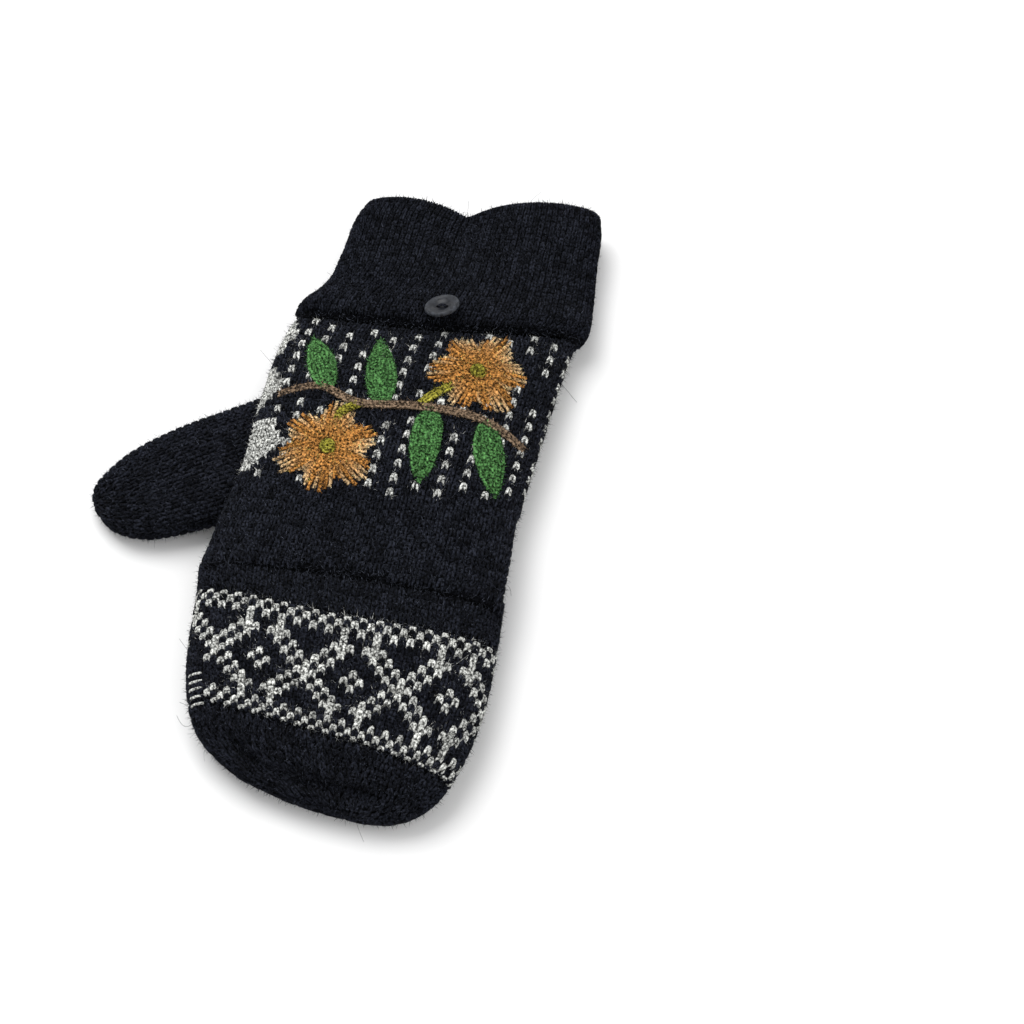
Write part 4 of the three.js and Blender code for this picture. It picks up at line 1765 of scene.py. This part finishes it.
        def wall_colour(u: np.ndarray, v: np.ndarray) -> np.ndarray:
            """Gives the yarns of the wall, as the stitches over it have them.

            Args:
                u: places round the cap.
                v: places along it, in mm.

            Returns:
                The colours there.
            """
            offset = tube.bend.offset(v, tube.read(tube.across, u, v))
            row = np.round(np.interp(v + offset, self.band_places, self.band_rows, -9, 99))
            number = (u * self.columns).astype(int)
            pale = np.zeros(len(u), bool)
            for k in range(len(BAND_CHART)):
                here = row == k
                pale[here] = self.chart(k, number[here]) & ~self.closes(u[here], row[here])
            made = np.tile(np.array(Yarn.BLACK.value), (len(u), 1))
            made[pale] = Yarn.CREAM.value
            return made

        ends = np.full(self.wall_lines, tube.length)
        wall = build_wall("cap_wall", tube, starts, ends, self.wall_rows, wall_colour)
        wall.data.materials.append(shop.wool)
        band, edge = StitchPlan(tube, thick=self.band_thick), StitchPlan(tube)
        rows = np.arange(-0.5, len(BAND_CHART))
        edges = np.interp(rows, self.band_rows, self.band_places)
        for row in range(len(BAND_CHART)):
            v, pitch = (edges[row] + edges[row + 1]) / 2, edges[row + 1] - edges[row]
            band.course(v, pitch, self.columns, self.band_colour(row), phase=self.half_step)
        black = plain(Yarn.BLACK)
        for k in range(self.hem_courses):
            edge.course(
                self.band_places[0] - (k + 1) * self.hem_pitch,
                self.hem_pitch,
                self.columns,
                black,
                lambda u, w, p: hem_level(p) > self.hem_gap,
                self.half_step,
            )
        v = self.band_places[-1] + self.tip_pitch
        while v < tube.length - self.tip_gap:
            girth = ring_length(tube, v)
            wanted = round(min(girth / self.tip_stitch_width, self.columns))
            columns = max(self.least_columns, wanted)
            edge.course(v, self.tip_pitch, columns, black)
            v += self.tip_pitch
        band_piece = band.stitch(shop, "cap_band_stitches", Leg_Segments=3, Yarn_Radius=0.27)
        edge_piece = edge.stitch(shop, "cap_plain_stitches", Leg_Segments=3, Yarn_Sides=4)
        self.close_side(shop, tube)
        shop.keep(wall, Slot.BLACK_WOOL, ("cap",))
        shop.keep(band_piece, Slot.PATTERN_WOOL)
        shop.keep(edge_piece, Slot.BLACK_WOOL)
        self.fuzz.cover(shop, wall, "cap_fuzz")


@dataclass
class HalfFingers:
    """The web and the four half fingers inside the cap, with their knitted ribs."""

    tips: tuple[tuple[float, float], ...] = (
        (-31.6, -26.0),
        (-10.0, -30.0),
        (11.6, -27.0),
        (33.2, -19.0),
    )
    width: float = 20.4
    height: float = 15.0
    floor: float = 6.0
    back_y: float = 2.0
    columns: int = 18
    pitch: float = 3.2
    first: float = 0.6  # the first course's place, in courses
    stitch_sink: float = 0.2
    stitch_thick: float = 1.6
    merge_gap: float = 0.00001  # in metres

    def build(self, shop: Workshop) -> None:
        """Builds the tubes from their solid, and knits rows of stitches on them.

        Args:
            shop: the shared trees and finishes.
        """
        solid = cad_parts["half_fingers"]
        mesh = solid.data.copy()
        mesh.name = "half_finger_tubes"
        work = bmesh.new()
        work.from_mesh(mesh)
        bmesh.ops.remove_doubles(work, verts=work.verts, dist=self.merge_gap)
        work.to_mesh(mesh)
        work.free()
        mesh.materials.clear()
        mesh.materials.append(shop.wool)
        tubes = add_object("half_finger_tubes", mesh)
        paint(mesh, plain(Yarn.BLACK)(np.zeros(len(mesh.vertices))))
        plan = None
        half, top = self.width / 2, self.floor + self.height
        for x, tip in self.tips:
            courses = (
                Course((x - half, self.back_y), (x + half, self.back_y), self.floor, top),
                Course((x - half, tip), (x + half, tip), self.floor, top),
            )
            tube = KnitTube(courses)
            turn = math.atan(KNUCKLE_SLOPE)
            c, s = math.cos(turn), math.sin(turn)
            spin = np.array([[c, s, 0], [-s, c, 0], [0, 0, 1]])
            tube.rings, tube.normals = tube.rings @ spin, tube.normals @ spin
            part = StitchPlan(tube, sink=self.stitch_sink, thick=self.stitch_thick)
            for k in range(int((self.back_y - tip) / self.pitch)):
                v = (k + self.first) * self.pitch
                part.course(v, self.pitch, self.columns, plain(Yarn.BLACK))
            if plan is None:
                plan = part
            else:
                plan.places.extend(part.places)
        ribs = plan.stitch(shop, "half_finger_stitches", Leg_Segments=2, Yarn_Sides=4)
        shop.keep(tubes, Slot.BLACK_WOOL, ("half_fingers",))
        shop.keep(ribs, Slot.BLACK_WOOL)


@dataclass
class Strand:
    """A length of yarn laid on the back of the hand."""

    path: np.ndarray  # points (x, y) in mm
    radius: float
    lift: float
    root: Yarn
    tip: Yarn


@dataclass
class Embroidery:
    """A sprig of two round blossoms, laid on the back in fuzzy yarn."""

    sides: int = 5
    seed: int = 23
    fuzz: Fuzz = Fuzz(1000000.0, 15, 1.5, 0.13, 1.1)
    petals: int = 6
    petal_strands: int = 9
    petal_spread: float = 0.43  # its half angle, in radians
    petal_lift: float = 0.6
    straw_chance: float = 0.55  # of a petal's strand with a paler tip
    eye_radius: float = 0.85
    eye_lift: float = 1.5
    strand_radius: float = 0.9
    leaf_lift: float = 0.55
    leaf_gap: float = 1.1  # between a leaf's strands
    leaf_wobble: float = 0.12
    stem_radius: float = 0.72
    stem_gap: float = 0.95
    stem_lift: float = 0.85
    above: float = 60.0  # the level from which strands are dropped on the hand
    strands: list = field(default_factory=list)

    def petal(self, centre: np.ndarray, angle: float, length: float, spread: float) -> None:
        """Lays one rounded petal as a fan of strands.

        Args:
            centre: the blossom's centre.
            angle: the petal's direction, in radians.
            length: its length, in mm.
            spread: the fan's half angle, in radians.
        """
        for k in range(self.petal_strands):
            share = (k / (self.petal_strands - 1)) * 2 - 1
            turn = angle + spread * share
            reach = length * (1 - 0.24 * abs(share) ** 2.4) * self.rng.uniform(0.92, 1.05)
            t = np.linspace(0.16, 1.0, 8)
            bulge = 0.1 * share * np.sin(t * math.pi)
            path = centre + np.stack(
                [np.cos(turn + bulge) * reach * t, np.sin(turn + bulge) * reach * t], axis=1
            )
            tip = Yarn.STRAW if self.rng.random() < self.straw_chance else Yarn.AMBER
            strand = Strand(path, self.strand_radius, self.petal_lift, Yarn.AMBER, tip)
            self.strands.append(strand)

    def blossom(self, x: float, y: float, size: float, turn: float) -> None:
        """Lays a blossom of six petals round an olive eye.

        Args:
            x: place across, in mm.
            y: place along, in mm.
            size: length of a petal, in mm.
            turn: turns the blossom, in radians.
        """
        centre = np.array([x, y])
        for k in range(self.petals):
            angle = turn + k * math.pi / 3
            self.petal(centre, angle, size * (1.0 if k % 2 else 0.94), self.petal_spread)
        t = np.linspace(0, 1, 30)
        coil = centre + np.stack(
            [np.cos(t * 15) * (0.6 + 2.6 * t), np.sin(t * 15) * (0.6 + 2.6 * t)], axis=1
        )
        eye = Strand(coil, self.eye_radius, self.eye_lift, Yarn.OLIVE, Yarn.OLIVE)
        self.strands.append(eye)

    def leaf(self, base: tuple[float, float], tip: tuple[float, float], width: float) -> None:
        """Lays a pointed leaf of strands that part from its base.

        Args:
            base: where it leaves the stem.
            tip: its point.
            width: its full width, in mm.
        """
        a, b = np.array(base), np.array(tip)
        along = b - a
        side = np.array([-along[1], along[0]]) / np.linalg.norm(along)
        count = max(5, int(width / self.leaf_gap))
        for k in range(count):
            share = (k / (count - 1)) * 2 - 1
            t = np.linspace(0.02, 1.0 - 0.12 * abs(share), 12)
            swell = np.sin(np.clip(t, 0, 1) ** 0.8 * math.pi) ** 0.75
            path = a + along * t[:, None] + side * (share * width / 2 * swell)[:, None]
            path = path + self.rng.normal(0, self.leaf_wobble, path.shape)
            strand = Strand(path, self.strand_radius, self.leaf_lift, Yarn.GREEN, Yarn.GREEN)
            self.strands.append(strand)

    def stem(self, points: tuple[tuple[float, float], ...], strands: int, yarn: Yarn) -> None:
        """Lays a stem of parallel strands through points.

        Args:
            points: the stem's course.
            strands: how many lie side by side.
            yarn: their colour.
        """
        knots = np.array(points)
        t = np.linspace(0, len(knots) - 1, 12 * (len(knots) - 1))
        path = np.stack([smooth_through(t, knots[:, k]) for k in (0, 1)], axis=1)
        along = unit(np.gradient(path, axis=0))
        side = np.stack([-along[:, 1], along[:, 0]], axis=1)
        for k in range(strands):
            offset = (k - (strands - 1) / 2) * self.stem_gap
            laid = path + side * offset
            self.strands.append(Strand(laid, self.stem_radius, self.stem_lift, yarn, yarn))

    def design(self) -> None:
        """Lays a stem across the back, with two leaves and a blossom on each of its sides."""
        self.stem(((47, 60), (30, 65), (8, 64), (-12, 61), (-28, 66), (-42, 62)), 3, Yarn.BROWN)
        self.stem(((8, 64), (13, 71), (21, 79)), 3, Yarn.OLIVE)
        self.stem(((-11, 61), (-17, 56), (-18, 48)), 3, Yarn.OLIVE)
        self.leaf((-4, 61), (-12, 91), 9.4)
        self.leaf((-24, 65), (-36, 88), 8.6)
        self.leaf((13, 65), (16, 34), 9.4)
        self.leaf((32, 65), (42, 37), 9.2)
        self.blossom(25, 84.4, 18.2, 0.2)
        self.blossom(-18, 41.6, 18.6, 0.5)

    def build(self, shop: Workshop, wall: bpy.types.Object) -> None:
        """Lays the strands on the hand and adds their fuzz.

        Args:
            shop: the shared trees and finishes.
            wall: the hand's wall.
        """
        self.rng = np.random.default_rng(self.seed)
        self.design()
        tree = BVHTree.FromPolygons(
            [v.co.copy() for v in wall.data.vertices], [p.vertices[:] for p in wall.data.polygons]
        )
        points, faces, colours = [], [], []
        for strand in self.strands:
            self.lay(strand, tree, points, faces, colours)
        piece = new_mesh("embroidery", np.array(points), faces)
        paint(piece.data, np.array(colours))
        piece.data.materials.append(shop.wool)
        store(piece.data, "fuzz", np.ones(len(points)))
        fibres = self.fuzz.short(shop, piece, "embroidery_fuzz")
        shop.keep(piece, Slot.PATTERN_WOOL)
        shop.keep(fibres, Slot.PATTERN_WOOL)

    def lay(self, strand: Strand, tree: BVHTree, points: list, faces: list, colours: list) -> None:
        """Adds one strand as a tapered tube that follows the hand.

        Args:
            strand: the strand.
            tree: the hand's surface.
            points: vertices so far, added to.
            faces: faces so far, added to.
            colours: vertex colours so far, added to.
        """
        middle = []
        for x, y in strand.path:
            start = (np.array([x, y, self.above]) + SHIFT) * MM
            hit = tree.ray_cast(Vector(start), Vector((0, 0, -1)))
            middle.append(np.array(hit[0]) / MM - SHIFT)
        middle = np.array(middle)
        t = np.linspace(0, 1, len(middle))
        arch = np.sin(np.clip(t * 1.1 + 0.06, 0, 1) * math.pi) ** 0.4
        middle[:, 2] += WALL_SINK + strand.lift * arch
        along = unit(np.gradient(middle, axis=0))
        up = np.tile([0.0, 0.0, 1.0], (len(middle), 1))
        side = unit(np.cross(along, up))
        up = np.cross(side, along)
        first = len(points)
        root, tip = np.array(strand.root.value), np.array(strand.tip.value)
        tone = self.rng.uniform(0.78, 1.18)
        for k, place in enumerate(middle):
            size = strand.radius * (0.55 + 0.45 * math.sin(min(1.0, 0.2 + t[k]) * math.pi * 0.8))
            for n in range(self.sides):
                a = 2 * math.pi * n / self.sides
                points.append(place + size * (math.cos(a) * side[k] + 0.8 * math.sin(a) * up[k]))
                colours.append((root + (tip - root) * t[k] ** 3) * tone)
        add_tube_faces(faces, first, len(middle), self.sides)


def smooth_through(t: np.ndarray, knots: np.ndarray) -> np.ndarray:
    """Reads a smooth curve through evenly spaced knots.

    Args:
        t: places, in knots.
        knots: the values at the knots.

    Returns:
        The values between them.
    """
    i = np.clip(np.floor(t).astype(int), 0, len(knots) - 2)
    s = t - i
    slope = np.gradient(knots)
    h1, h2 = 2 * s**3 - 3 * s**2 + 1, s**3 - 2 * s**2 + s
    h3, h4 = -2 * s**3 + 3 * s**2, s**3 - s**2
    return h1 * knots[i] + h2 * slope[i] + h3 * knots[i + 1] + h4 * slope[i + 1]


@dataclass
class Button:
    """The sewn button at the wrist and its thread."""

    radius: float = 6.35
    rim: float = 2.1
    dish_radius: float = 3.7
    dish_depth: float = 1.15
    hole_radius: float = 0.85
    hole_offset: float = 1.5
    place: tuple[float, float, float] = (7.1, 105.4, 29.5)
    tilt_x: float = -20.0
    tilt_y: float = -17.0
    sides: int = 72
    hole_sides: int = 20
    sharp_angle: float = 50.0
    thread_turns: int = 4
    thread_gap: float = 0.32
    thread_radius: float = 0.2
    thread_low: float = -2.2  # where it ends under the button

    def seat(self, mesh: bpy.types.Mesh) -> None:
        """Tilts a mesh round the button's own middle and sets it on the cuff.

        Args:
            mesh: a mesh in mm, changed in place.
        """
        ax, ay = math.radians(self.tilt_x), math.radians(self.tilt_y)
        about_x = np.array(
            [[1, 0, 0], [0, math.cos(ax), -math.sin(ax)], [0, math.sin(ax), math.cos(ax)]]
        )
        about_y = np.array(
            [[math.cos(ay), 0, math.sin(ay)], [0, 1, 0], [-math.sin(ay), 0, math.cos(ay)]]
        )
        places = np.empty(len(mesh.vertices) * 3, np.float32)
        mesh.vertices.foreach_get("co", places)
        turned = places.reshape(-1, 3) @ (about_y @ about_x).T
        seated = (turned + np.array(self.place) + SHIFT) * MM
        mesh.vertices.foreach_set("co", seated.astype(np.float32).ravel())
        mesh.update()

    def disc(self) -> bpy.types.Object:
        """Turns the disc.

        Returns:
            The disc without its holes, in mm.
        """
        edge = self.radius
        profile = [
            (0.0, 0.0),
            (edge - 1.4, 0.0),
            (edge - 0.45, 0.35),
            (edge, 0.9),
            (edge, self.rim - 0.7),
            (edge - 0.15, self.rim - 0.3),
            (edge - 0.5, self.rim),
            (edge - 0.95, self.rim - 0.02),
            (edge - 1.4, self.rim - 0.28),
            (edge - 1.9, self.rim - 0.4),
            (self.dish_radius, self.rim - 0.42),
            (self.dish_radius - 0.4, self.rim - 0.6),
            (self.dish_radius - 1.0, self.rim - self.dish_depth + 0.1),
            (self.dish_radius - 1.6, self.rim - self.dish_depth),
            (0.0, self.rim - self.dish_depth),
        ]
        count = self.sides
        points, faces = [(0.0, 0.0, 0.0)], []
        for r, z in profile[1:-1]:
            for k in range(count):
                a = 2 * math.pi * k / count
                points.append((r * math.cos(a), r * math.sin(a), z))
        points.append((0.0, 0.0, profile[-1][1]))
        top = len(points) - 1
        rings = len(profile) - 2
        for k in range(count):
            n = (k + 1) % count
            faces.append((0, 1 + n, 1 + k))
            for i in range(rings - 1):
                a, b = 1 + i * count + k, 1 + i * count + n
                faces.append((a, b, b + count, a + count))
            a, b = 1 + (rings - 1) * count + k, 1 + (rings - 1) * count + n
            faces.append((a, b, top))
        mesh = bpy.data.meshes.new("button_disc")
        mesh.from_pydata(points, [], faces)
        return add_object("button_disc", mesh)

    def drill(self, disc: bpy.types.Object) -> bpy.types.Object:
        """Drills the two holes.

        Args:
            disc: the plain disc, which is used up.

        Returns:
            The drilled disc.
        """
        drill = bpy.data.meshes.new("drill")
        work = bmesh.new()
        for side in (-1, 1):
            made = bmesh.ops.create_cone(
                work,
                cap_ends=True,
                segments=self.hole_sides,
                radius1=self.hole_radius,
                radius2=self.hole_radius,
                depth=8.0,
            )
            bmesh.ops.translate(
                work, verts=made["verts"], vec=(side * self.hole_offset, 0.0, 1.0)
            )
        work.to_mesh(drill)
        work.free()
        tool = add_object("drill", drill)
        cut = disc.modifiers.new("holes", "BOOLEAN")
        cut.object = tool
        cut.solver = "EXACT"
        graph = bpy.context.evaluated_depsgraph_get()
        mesh = bpy.data.meshes.new_from_object(disc.evaluated_get(graph), depsgraph=graph)
        for used in (disc, tool):
            bpy.data.objects.remove(used)
        return add_object("wrist_button", mesh)

    def build(self, shop: Workshop) -> None:
        """Builds the button and the thread through it.

        Args:
            shop: the shared trees and finishes.
        """
        piece = self.drill(self.disc())
        mesh = piece.data
        mesh.materials.clear()
        mesh.materials.append(shop.plastic)
        # painted light by distance from the middle: darker in the dish, painted shade, and lighter
        # on the rim, a painted highlight
        out = np.array([math.hypot(v.co.x, v.co.y) for v in mesh.vertices])
        dish_shade_rim_light = np.interp(out, (1.5, 3.2, 4.6, 5.5, 6.2), (0.15, 0.3, 0.55, 0.8, 1.6))
        store(mesh, "dish_shade_rim_light", dish_shade_rim_light)
        self.seat(mesh)
        mesh.polygons.foreach_set("use_smooth", [True] * len(mesh.polygons))
        mesh.set_sharp_from_angle(angle=math.radians(self.sharp_angle))
        shop.keep(piece, Slot.BUTTON, ("button",))
        self.sew(shop)

    def sew(self, shop: Workshop) -> None:
        """Winds the thread through both holes and down to the cuff.

        Args:
            shop: the shared trees and finishes.
        """
        points, faces = [], []
        dish = self.rim - self.dish_depth
        for turn in range(self.thread_turns):
            y = (turn - (self.thread_turns - 1) / 2) * self.thread_gap
            loop = [
                (-self.hole_offset, y, self.thread_low),
                (-self.hole_offset, y, dish * 0.6),
                (-self.hole_offset * 0.8, y, dish + 0.5),
                (0.0, y, dish + 0.72),
                (self.hole_offset * 0.8, y, dish + 0.5),
                (self.hole_offset, y, dish * 0.6),
                (self.hole_offset, y, self.thread_low),
            ]
            add_tube(np.array(loop), self.thread_radius, 6, points, faces)
        mesh = bpy.data.meshes.new("button_stitching")
        mesh.from_pydata([tuple(p) for p in points], [], faces)
        mesh.polygons.foreach_set("use_smooth", [True] * len(mesh.polygons))
        self.seat(mesh)
        paint(mesh, plain(Yarn.BLACK)(np.zeros(len(points))))
        mesh.materials.append(shop.wool)
        shop.keep(add_object("button_stitching", mesh), Slot.THREAD, ("button_thread",))


def add_tube_faces(faces: list, first: int, rings: int, sides: int) -> None:
    """Adds the faces of a tube with closed ends.

    Args:
        faces: faces so far, added to.
        first: its first vertex.
        rings: its rings of vertices.
        sides: its sides.
    """
    for k in range(rings - 1):
        for n in range(sides):
            a, b = first + k * sides + n, first + k * sides + (n + 1) % sides
            faces.append((a, a + sides, b + sides, b))
    last = first + (rings - 1) * sides
    faces.append(tuple(range(first, first + sides)))
    faces.append(tuple(range(last + sides - 1, last - 1, -1)))


def add_tube(
    path: np.ndarray,
    radius: float,
    sides: int,
    points: list,
    faces: list,
    aside: tuple[float, float, float] = (0.0, 1.0, 0.0),
) -> None:
    """Adds a tube along a path.

    Args:
        path: its middle line.
        radius: its radius.
        sides: its sides.
        points: vertices so far, added to.
        faces: faces so far, added to.
        aside: a direction that the path never takes.
    """
    along = unit(np.gradient(path, axis=0))
    side = unit(np.cross(along, np.tile(aside, (len(path), 1))))
    up = np.cross(side, along)
    first = len(points)
    for k, place in enumerate(path):
        for n in range(sides):
            a = 2 * math.pi * n / sides
            points.append(place + radius * (math.cos(a) * side[k] + math.sin(a) * up[k]))
    add_tube_faces(faces, first, len(path), sides)


def twisted_loop(
    name: str, path: np.ndarray, radius: float, twists: int, wool: bpy.types.Material
) -> bpy.types.Object:
    """Lays a closed cord of two plies along a path.

    Args:
        name: the piece's name.
        path: the cord's middle, in mm, evenly spaced and closed.
        radius: the cord's radius, in mm.
        twists: turns of the plies in all.
        wool: the finish.

    Returns:
        The piece.
    """
    count, sides, ply = len(path), 6, radius * 0.56
    along = unit(np.roll(path, -1, axis=0) - np.roll(path, 1, axis=0))
    side = unit(np.cross(along, np.tile([0.0, 0.0, 1.0], (count, 1))))
    up = np.cross(side, along)
    points, faces = [], []
    for strand in range(2):
        first = len(points)
        for i in range(count):
            twist = 2 * math.pi * twists * i / count + strand * math.pi
            sway = ply * 0.8 * (math.cos(twist) * side[i] + math.sin(twist) * up[i])
            for k in range(sides):
                b = 2 * math.pi * k / sides
                spoke = math.cos(b) * side[i] + math.sin(b) * up[i]
                points.append(path[i] + sway + ply * spoke)
        for i in range(count):
            for k in range(sides):
                a, b = first + i * sides + k, first + i * sides + (k + 1) % sides
                n = (i + 1) % count
                c, d = first + n * sides + k, first + n * sides + (k + 1) % sides
                faces.append((a, c, d, b))
    loop = new_mesh(name, np.array(points), faces)
    rest_on_floor(loop.data)
    paint(loop.data, plain(Yarn.BLACK)(np.zeros(len(points))))
    loop.data.materials.append(wool)
    return loop


@dataclass
class ButtonLoop:
    """The loop of two-ply cord under the cap's tip."""

    place: tuple[float, float] = (18.0, -67.5)
    length: float = 17.0
    width: float = 13.0
    cord: float = 1.7
    twists: int = 15

    def build(self, shop: Workshop) -> None:
        """Builds the two plies.

        Args:
            shop: the shared trees and finishes.
        """
        half = (self.width - self.cord) / 2
        straight = (self.length - self.width) / 2
        a = np.linspace(0, 2 * math.pi, 180, endpoint=False)
        end = straight * np.clip(np.sin(a) * 4, -1, 1)
        x = self.place[0] + half * np.cos(a)
        y = self.place[1] + end + half * np.sin(a)
        path = np.stack([x, y, np.full(len(a), self.cord / 2)], axis=1)
        loop = twisted_loop("cap_button_loop", path, self.cord / 2, self.twists, shop.wool)
        shop.keep(loop, Slot.THREAD, ("button_loop",))


@dataclass(frozen=True)
class Lamp:
    """A square soft light that looks at the mitten."""

    name: str
    place: tuple[float, float, float]  # in metres
    side: float  # in metres
    power: float  # in watts

    def hang(self) -> None:
        """Hangs the light."""
        lamp = bpy.data.lights.new(self.name, "AREA")
        lamp.energy = self.power
        lamp.size = self.side
        holder = add_object(self.name, lamp)
        holder.location = self.place
        holder.rotation_euler = (-Vector(self.place)).to_track_quat("-Z", "Y").to_euler()


@dataclass
class Studio:
    """The camera, the paper floor and the soft light."""

    azimuth: float = 13.0
    elevation: float = 60.0
    distance: float = 900.0
    target: tuple[float, float, float] = (45.9, 46.4, 0.0)
    lens: float = 90.0
    sensor: float = 36.0
    paper: float = 6.0  # half the floor's side, in metres
    lamps: tuple[Lamp, ...] = (
        Lamp("key", (-0.5, 0.5, 1.3), 1.1, 17.5),
        Lamp("fill", (0.9, -0.6, 1.2), 1.4, 6.0),
    )
    daylight: float = 0.62  # the world's strength
    view: str = "Standard"

    def build(self) -> None:
        """Builds the studio."""
        a, e = math.radians(self.azimuth), math.radians(self.elevation)
        away = np.array([math.sin(a) * math.cos(e), -math.cos(a) * math.cos(e), math.sin(e)])
        target = np.array(self.target) + SHIFT
        place = (target + self.distance * away) * MM
        camera = bpy.data.cameras.new("camera")
        camera.lens = self.lens
        camera.sensor_width = self.sensor
        holder = add_object("camera", camera)
        holder.location = place
        holder.rotation_euler = Vector(-away).to_track_quat("-Z", "Y").to_euler()
        bpy.context.scene.camera = holder
        size = self.paper
        paper = bpy.data.meshes.new("paper")
        corners = [(-size, -size, 0), (size, -size, 0), (size, size, 0), (-size, size, 0)]
        paper.from_pydata(corners, [], [(0, 1, 2, 3)])
        paper.materials.append(FloorFinish().make())
        add_object("paper", paper)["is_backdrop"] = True
        for lamp in self.lamps:
            lamp.hang()
        world = bpy.data.worlds.new("studio")
        world.use_nodes = True
        backdrop = world.node_tree.nodes["Background"]
        backdrop.inputs[0].default_value = (1.0, 1.0, 1.0, 1.0)
        backdrop.inputs[1].default_value = self.daylight
        bpy.context.scene.world = world
        bpy.context.scene.view_settings.view_transform = self.view


def write_sizes() -> None:
    """Works out the box of the solids and the box of the dressed mitten, without writing them."""
    boxes = {"cad": CAD_BOX, "visual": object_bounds()}
    plain_boxes = {k: [[float(c) for c in corner] for corner in b] for k, b in boxes.items()}


def main() -> None:
    """Builds the studio, then each sub-assembly in order."""
    logging.basicConfig(level=logging.INFO, format="%(name)s %(message)s")
    Studio().build()
    shop = Workshop(
        stitch_tree(), fuzz_tree(), nap_tree(), WoolFinish().make(), ButtonFinish().make()
    )
    Cuff().build(shop)
    hand = Hand().build(shop)
    Thumb().build(shop)
    HalfFingers().build(shop)
    Cap().build(shop)
    Embroidery().build(shop, hand)
    Button().build(shop)
    ButtonLoop().build(shop)
    write_sizes()


if __name__ == "__main__":
    main()
